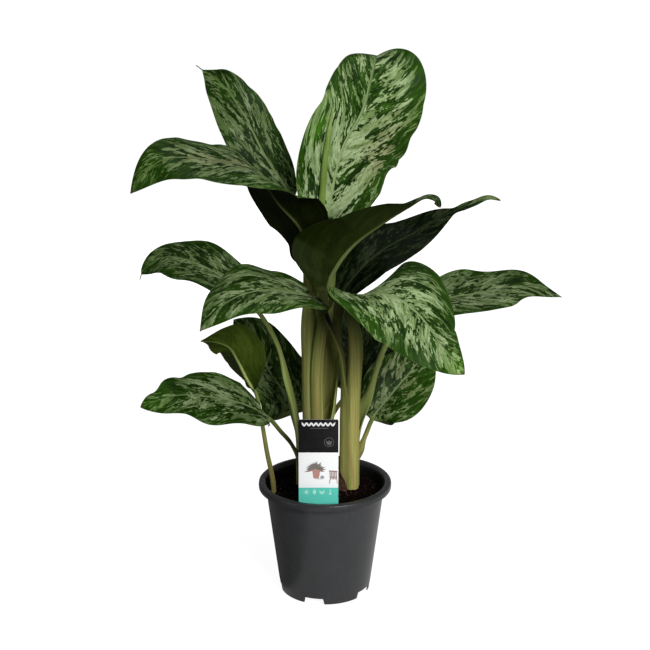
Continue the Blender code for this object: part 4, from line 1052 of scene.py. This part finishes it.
def make_spear():
    """A tube along a smooth route whose section is a spiral.

    radius(angle, z) = R(z) (1 - step * angle / 2 pi), with the angle counted from the seam,
    which turns slowly on its way up.
    """
    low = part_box("new_leaf")[0].z
    x, y = SHOOTS["main"]["axis"]
    route = np.array([
        (x, y, low, 0.90), (x, y, 0.300, 0.80), (-0.0070, 0.0195, 0.390, 0.80),
        (-0.0050, 0.0290, 0.440, 1.00), (-0.0058, 0.0360, 0.475, 1.15),
        (-0.0034, 0.0378, 0.510, 1.15), (-0.0006, 0.0384, 0.547, 1.05),
        (0.0043, 0.0386, 0.585, 0.80), (0.0097, 0.0412, 0.618, 0.20)])
    dense, arc, knots = smooth_curve(route[:, :3])
    place = np.linspace(0.0, knots[-1], 150)
    line = read_at(place, arc, dense)
    forward = unit(np.gradient(line, axis=0))
    east = unit(np.cross(forward, np.array([0.0, 1.0, 0.0])))
    flat = 1.0 - (1.0 - SPEAR_FLAT) * ease((line[:, 2:] - 0.43) / 0.05)
    north = np.cross(forward, east) * flat
    size = SPEAR_RADIUS * np.interp(place, knots, route[:, 3])
    turn = np.linspace(0.0, 1.0, 33)
    angle = 2 * pi * turn + SPEAR_SEAM_START + SPEAR_TWIST * (place / knots[-1])[:, None]
    reach = (size[:, None] * (1.0 - SPEAR_SEAM * turn))[..., None]
    points = line[:, None] + reach * (np.cos(angle)[..., None] * east[:, None]
                                      + np.sin(angle)[..., None] * north[:, None])
    return new_piece("rolled_leaf", points, tube_faces(*angle.shape), mat_spear())


spear = make_spear()
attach(spear, "root")
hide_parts("new_leaf")


# ---------------------------------------------------------------- dry sheaths
# What is left of the oldest petioles at the foot of both shoots: brown papery strips, split
# into fibres at their ragged tips, their edges curled away from the shoot.

DRY_HALF_WIDTH = 0.0066
DRY_THICKNESS = 0.0006
DRY_LEAN = 0.003


def mat_dry():
    """Papery brown with dark and straw-coloured fibres."""
    mat = Finish("dry_sheath_brown", Roughness=0.78, Specular_IOR_Level=0.22)
    fibres = mat.noise((1300.0, 1300.0, 60.0), 3.0, 0.65)
    stain = mat.between(mat.noise(170.0, 3.0, 0.6), 0.48, 0.66, 0.0, 0.7)
    colour = mat.coated((0.040, 0.017, 0.010),
                        (mat.between(fibres, 0.34, 0.70), (0.15, 0.080, 0.042)),
                        (stain, (0.032, 0.012, 0.009)))
    return mat.done(colour, fibres, 0.00035)


def make_dry_sheath(name, node, shoot, angle, height, finish):
    """A strip round the shoot, narrowed by 1 - 0.8 t^1.6, with a ragged tip and curled edges."""
    shoot = SHOOTS[shoot]
    share = np.linspace(0.0, 1.0, 40)[:, None]
    step = np.linspace(1.0, -1.0, 25)[None, :]
    ragged = 0.10 * rough_ground(step * 0.006, 0 * step, 0.0009, 41)
    radius = shoot["outer"] + DRY_LEAN * share**2 + 0.0009 * step**4 * share
    radius = radius + 0.0003 * rough_ground(step * 0.006, share * 0.03, 0.0016, 42)
    span = DRY_HALF_WIDTH * (1.0 - 0.8 * share**1.6) / shoot["outer"]
    turn = radians(angle) + span * step + 0.05 * np.sin(4 * share)
    rise = SOIL_TOP + TOUCH_GAP + height * share * (0.90 + ragged * share)
    inner, outer = (at_angle(reach, turn, rise, shoot["axis"])
                    for reach in (radius, radius + DRY_THICKNESS))
    ring = np.concatenate([inner, outer[:, ::-1]], 1)
    sheath = new_piece(name, ring, tube_faces(*ring.shape[:2]), finish, sharp=50.0)
    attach(sheath, "root")
    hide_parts(node)


dry_finish = mat_dry()
make_dry_sheath("dry_strip_main", "dry_sheath_main", "main", 262, 0.035, dry_finish)
make_dry_sheath("dry_strip_right", "dry_sheath_right", "right", -120, 0.028, dry_finish)


# ---------------------------------------------------------------- plant label
# A stiff printed polystyrene card, die cut with round top corners and a stake that is pushed
# into the soil.  The print is a black head, a white middle with a small picture of a potted
# plant and a stool, and a green foot with sun, water and leaf signs.

CARD_LOW, CARD_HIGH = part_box("plant_label")
CARD_MIDDLE = (CARD_LOW + CARD_HIGH) / 2
CARD_HALF = (CARD_HIGH.x - CARD_LOW.x) / 2 - 0.0005
CARD_TOP = CARD_HIGH.z - 0.0028
CARD_THICK = CARD_HIGH.y - CARD_LOW.y
CARD_SHOULDER = 0.128
CARD_CORNER = 0.0022
STAKE_TIP_HALF = 0.004
CARD_BEVEL = 0.00018
HEAD_FOOT = 0.2100              # where the black print ends
PICTURE_FOOT = 0.1635           # where the green print begins
INK = 0.00005                   # height of the lowest printed shape; the last is twice as high


def mat_card():
    """Printed card: black, white and green bands on the front, white on the back and edges,
    tinted where white turns to green, and soiled where it enters the soil."""
    mat = Finish("printed_card", Specular_IOR_Level=0.18)
    _, depth, height = mat.add("SeparateXYZ", {0: mat.place}, None)
    tooth, sheen = mat.noise(1500.0, 3.0, 0.6), mat.noise(60.0, 2.0)
    head = mat.coated((0.0030, 0.0030, 0.0032),
                      (mat.between(sheen, 0.35, 0.7), (0.0060, 0.0060, 0.0062)))
    uneven = mat.between(tooth, 0.30, 0.75)
    white = mat.coated((0.93, 0.945, 0.95), (uneven, (0.97, 0.975, 0.975)))
    green = mat.coated((0.095, 0.560, 0.450), (uneven, (0.125, 0.620, 0.505)))
    front = mat.coated(
        white, (mat.maths("GREATER_THAN", height, HEAD_FOOT), head),
        (mat.between(height, PICTURE_FOOT + 0.010, PICTURE_FOOT, 0.0, 0.35), (0.70, 0.84, 0.86)),
        (mat.maths("LESS_THAN", height, PICTURE_FOOT), green))
    soiled = mat.times(mat.between(height, SOIL_TOP + 0.008, SOIL_TOP - 0.002),
                       mat.between(tooth, 0.35, 0.60))
    printed = mat.maths("LESS_THAN", depth, CARD_LOW.y + 0.5 * CARD_BEVEL)
    colour = mat.coated((0.80, 0.81, 0.80), (printed, front), (soiled, (0.020, 0.009, 0.007)))
    return mat.done(colour, tooth, 0.00004, 0.5, mat.scaled(tooth, 0.15, 0.30))


def make_card():
    """The outline carried through the thickness with an eased edge, closed front and back."""
    half, top, bevel = CARD_HALF, CARD_TOP, CARD_BEVEL
    outline = rounded([(half, top, CARD_CORNER), (-half, top, CARD_CORNER),
                       (-half, CARD_SHOULDER, 0.004), (-STAKE_TIP_HALF, CARD_LOW.z, 0.002),
                       (STAKE_TIP_HALF, CARD_LOW.z, 0.002), (half, CARD_SHOULDER, 0.004)], 7)
    tangent = unit(np.roll(outline, -1, 0) - np.roll(outline, 1, 0))
    inward = np.stack([-tangent[:, 1], tangent[:, 0]], -1)
    inset, depth = np.array([(bevel, 0.0), (0.3 * bevel, 0.3 * bevel), (0.0, bevel)]).T
    inset = np.append(inset, inset[::-1])[:, None, None]
    flat = outline + inward * inset
    depth = np.append(depth, CARD_THICK - depth[::-1])[:, None] + 0 * flat[..., 0]
    points = np.stack([flat[..., 0] + CARD_MIDDLE.x, CARD_LOW.y + depth, flat[..., 1]], -1)
    faces = tube_faces(*depth.shape, flip=True)
    return new_piece("printed_label", points, faces, mat_card(), sharp=60.0)


def swung(x, z, a, b, turn):
    """Points (a, b) turned by an angle and put at (x, z)."""
    return np.stack([x + a * cos(turn) - b * sin(turn), z + a * sin(turn) + b * cos(turn)], -1)


def ellipse(x, z, wide, high):
    """An ellipse's outline."""
    t = np.linspace(0, 2 * pi, 24, False)
    return swung(x, z, wide * np.cos(t), high * np.sin(t), 0.0)


def leaflet(x, z, length, wide, turn):
    """A pointed leaf from its stalk: half-width = wide * sin(pi t) * (1 - 0.3 t) on both sides."""
    t = np.linspace(0.0, 1.0, 12)
    side = wide * np.sin(pi * t) * (1 - 0.3 * t)
    return swung(x, z, np.append(t, t[-2:0:-1]) * length, np.append(side, -side[-2:0:-1]),
                 radians(turn))


def bar(x0, z0, x1, z1, wide):
    """A straight strip between two points."""
    start, end = np.array([x0, z0]), np.array([x1, z1])
    ahead = unit(end - start)
    off = np.array([-ahead[1], ahead[0]]) * wide / 2
    return np.array([start + off, start - off, end - off, end + off])


def rays(x, z, inner, outer, count, sweep=0.0):
    """Thin strips round a point, each from the inner radius out to the outer, and round by
    the sweep."""
    return [bar(x + inner * cos(a), z + inner * sin(a), x + outer * cos(a + sweep),
                z + outer * sin(a + sweep), 0.6) for a in 2 * pi * np.arange(count) / count]


def mat_ink():
    """Printing ink in each shape's own colour, with a fine screen grain."""
    mat = Finish("printing_ink", Roughness=0.38, Specular_IOR_Level=0.4)
    own = mat.add("Attribute", out="Color", attribute_name="ink")
    grain = mat.between(mat.noise(2400.0, 2.0, 0.6), 0.40, 0.80, 0.0, 0.35)
    return mat.done(mat.coated(own, (grain, (0.75, 0.74, 0.72))))


def make_print():
    """Flat shapes on the card's front, in millimetres from its middle and from the ground.

    Each is a closed prism, a little higher than the one before, so that none lie level.
    """
    white, dim = (0.80, 0.81, 0.81), (0.060, 0.062, 0.066)
    dark_green, brown = (0.105, 0.120, 0.100), (0.210, 0.105, 0.100)
    clay, wood, mint = (0.46, 0.21, 0.17), (0.26, 0.14, 0.11), (0.40, 0.78, 0.68)
    rng = np.random.default_rng(7)
    groups = [
        (white, [leaflet(5.8 * n - 17.4, 244.0, 6.6, 1.3, turn) for n in range(7)
                 for turn in (62, 118)]),
        (dim, [bar(-10.0, 241.8, 12.0, 241.8, 0.6), *rays(13, 223.5, 5.8, 5.8, 16, 0.34),
               *(leaflet(13.0, 219.5, 7.0, 1.6, turn) for turn in (60, 90, 120))])]
    for number, turn in enumerate(np.linspace(-15, 195, 17)):
        length = 6.6 + 4.6 * rng.uniform() + 3.0 * abs(cos(radians(turn)))
        groups.append((brown if number % 3 == 1 else dark_green,
                       [leaflet(-4.0, 188.0, length, 1.4, turn)]))
    groups += [
        (clay, [np.array([(-7.8, 186.2), (-6.2, 175.8), (0.4, 175.8), (2.2, 186.2)]),
                bar(-8.5, 186.6, 2.9, 186.6, 1.4)]),
        ((0.62, 0.66, 0.70), [ellipse(1.2, 175.2, 5.2, 0.7)]),
        ((0.30, 0.30, 0.31), [ellipse(4.6, 177.5, 2.4, 2.1)]),
        (wood, [*(bar(14.0 + 1.9 * n, 185.5, 14.8 + 1.9 * n, 174.5, 1.2) for n in range(5)),
                bar(12.8, 185.7, 23.2, 185.0, 1.4), bar(13.8, 177.8, 23.2, 177.2, 1.0),
                bar(14.2, 174.5, 13.6, 169.0, 0.9), bar(22.6, 174.5, 23.2, 169.0, 0.9)]),
        (mint, [ellipse(-15.0, 157.5, 1.8, 1.8), *rays(-15.0, 157.5, 2.5, 3.7, 8),
                leaflet(-5.0, 154.1, 7.5, 2.4, 90), leaflet(4.2, 154.5, 6.4, 1.5, 60),
                leaflet(4.2, 154.5, 6.4, 1.5, 120), bar(14.5, 156.0, 14.5, 161.2, 1.3),
                ellipse(14.5, 155.4, 1.6, 1.6)])]
    shapes = [(outline / 1000, ink) for ink, outlines in groups for outline in outlines]
    points, faces, inks = [], [], []
    for number, (outline, ink) in enumerate(shapes):
        x, z = outline.T
        if np.sum(x * np.roll(z, -1) - np.roll(x, -1) * z) < 0:
            x, z = x[::-1], z[::-1]
        faces += tube_faces(2, len(x), len(inks), flip=True)
        for depth in (-INK * (1.0 + number / len(shapes)), 0.5 * CARD_BEVEL):
            points.append(np.stack([x + CARD_MIDDLE.x, 0 * x + CARD_LOW.y + depth, z], -1))
        inks += [(*ink, 1.0)] * (2 * len(x))
    piece = new_piece("label_print", np.concatenate(points), faces, mat_ink(), sharp=30.0)
    attribute = piece.data.attributes.new("ink", "FLOAT_COLOR", "POINT")
    attribute.data.foreach_set("color", np.ravel(inks))
    return piece


card = make_card()
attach(card, "root")
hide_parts("plant_label")
art = make_print()
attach(art, "root")


# ---------------------------------------------------------------- floor, light and camera
# A plain white sweep, lit by one large soft lamp from the right front and weak ones from the
# left and above, so that the leaves shade each other deeply, and by one behind the plant.
# To gloss the floor glows right of a slanting line: a painted reflection that lights the
# pot's right side and leaves its left dark, as if the floor's shadow ended at that line.

FLOOR_REACH = 40.0
FLOOR_CORNERS = ((-1, -1, 0), (1, -1, 0), (1, 1, 0), (-1, 1, 0))
PAINTED_REFLECTION_ACROSS = (0.94, -0.34, 0.0)
PAINTED_REFLECTION_EDGE = -0.049
PAINTED_REFLECTION_SOFTNESS = 0.012
PAINTED_REFLECTION_GLOW = 0.41
GLOSS_GLOW = 0.18               # how bright the surroundings are to gloss, and to the object
AMBIENT_GLOW = 0.07
AIM = (0.0, 0.0, 0.36)
CAMERA_PITCH = 16.64


def behind(nodes):
    """1 for rays from the camera and rays through glass, and 1 for glossy rays."""
    rays_seen = nodes.add("LightPath", out=None)
    white = nodes.maths("MAXIMUM", rays_seen["Is Camera Ray"], rays_seen["Is Transmission Ray"])
    return white, rays_seen["Is Glossy Ray"]


def mat_floor():
    """White to the camera, with the shadow that its matte part takes; to gloss, a painted reflection."""
    mat = Finish("white_floor", Roughness=0.95, Specular_IOR_Level=0.0,
                 Base_Color=(0.22, 0.22, 0.22, 1), Emission_Color=(1, 1, 1, 1))
    white, glossy = behind(mat)
    glow = mat.times(white, mat.between(mat.length(mat.place), 0.4, 2.0, 0.92, 1.0))
    # Painted reflection: a glow seen only by glossy rays, right of a slanting line on the floor.
    across = mat.add("VectorMath", {0: mat.place, 1: PAINTED_REFLECTION_ACROSS}, "Value",
                     operation="DOT_PRODUCT")
    painted_reflection = mat.between(across, PAINTED_REFLECTION_EDGE - PAINTED_REFLECTION_SOFTNESS, PAINTED_REFLECTION_EDGE + PAINTED_REFLECTION_SOFTNESS,
                        0.0, PAINTED_REFLECTION_GLOW)
    glow = mat.maths("MAXIMUM", glow, mat.times(painted_reflection, glossy))
    mat.tree.links.new(glow, mat.shader.inputs["Emission Strength"])
    return mat.material


def make_lamp(name, place, size, power, mirrored=True):
    """A square soft lamp that faces the plant; unless mirrored it makes no highlights."""
    lamp = bpy.data.lights.new(name, "AREA")
    lamp.size, lamp.energy = size, power
    item = bpy.data.objects.new(name, lamp)
    item.location = place
    item.visible_glossy = mirrored
    x, y, z = np.subtract(place, AIM)
    item.rotation_euler = (np.arctan2(np.hypot(x, y), z), 0.0, np.arctan2(x, -y))
    bpy.context.scene.collection.objects.link(item)


def make_world():
    """White behind everything; dim light on the object, a little more of it in gloss."""
    world = bpy.context.scene.world = bpy.data.worlds.new("studio")
    world.use_nodes = True
    world.node_tree.nodes.clear()
    nodes = Nodes(world.node_tree)
    white, glossy = behind(nodes)
    strength = nodes.maths("MAXIMUM", white, nodes.times(glossy, GLOSS_GLOW))
    strength = nodes.maths("MAXIMUM", strength, AMBIENT_GLOW)
    shade = nodes.add("Background", {"Color": (1, 1, 1), "Strength": strength})
    nodes.add("OutputWorld", {"Surface": shade}, None)


def make_camera():
    """Above the crown's height, 1.7 m in front, looking down on the pot."""
    lens = bpy.data.cameras.new("camera")
    lens.lens, lens.sensor_width = 79.26, 36.0
    camera = bpy.data.objects.new("camera", lens)
    camera.location = (0.0, -1.7, 0.8622)
    camera.rotation_euler = (radians(90.0 - CAMERA_PITCH), 0.0, 0.0)
    bpy.context.scene.collection.objects.link(camera)
    bpy.context.scene.camera = camera


floor = new_piece("white_sweep", FLOOR_REACH * np.array(FLOOR_CORNERS), [(0, 1, 2, 3)],
                  mat_floor(), sharp=0)
make_world()
make_lamp("key_lamp", (1.15, -2.05, 1.35), 1.1, 70.0)
make_lamp("fill_lamp", (-1.9, -1.3, 0.9), 1.2, 6.0)
make_lamp("top_lamp", (0.2, 0.1, 2.3), 1.2, 12.0)
make_lamp("back_lamp", (-0.5, 2.3, 0.75), 1.4, 34.0, mirrored=False)
make_camera()
bpy.context.scene.view_settings.view_transform = "Standard"
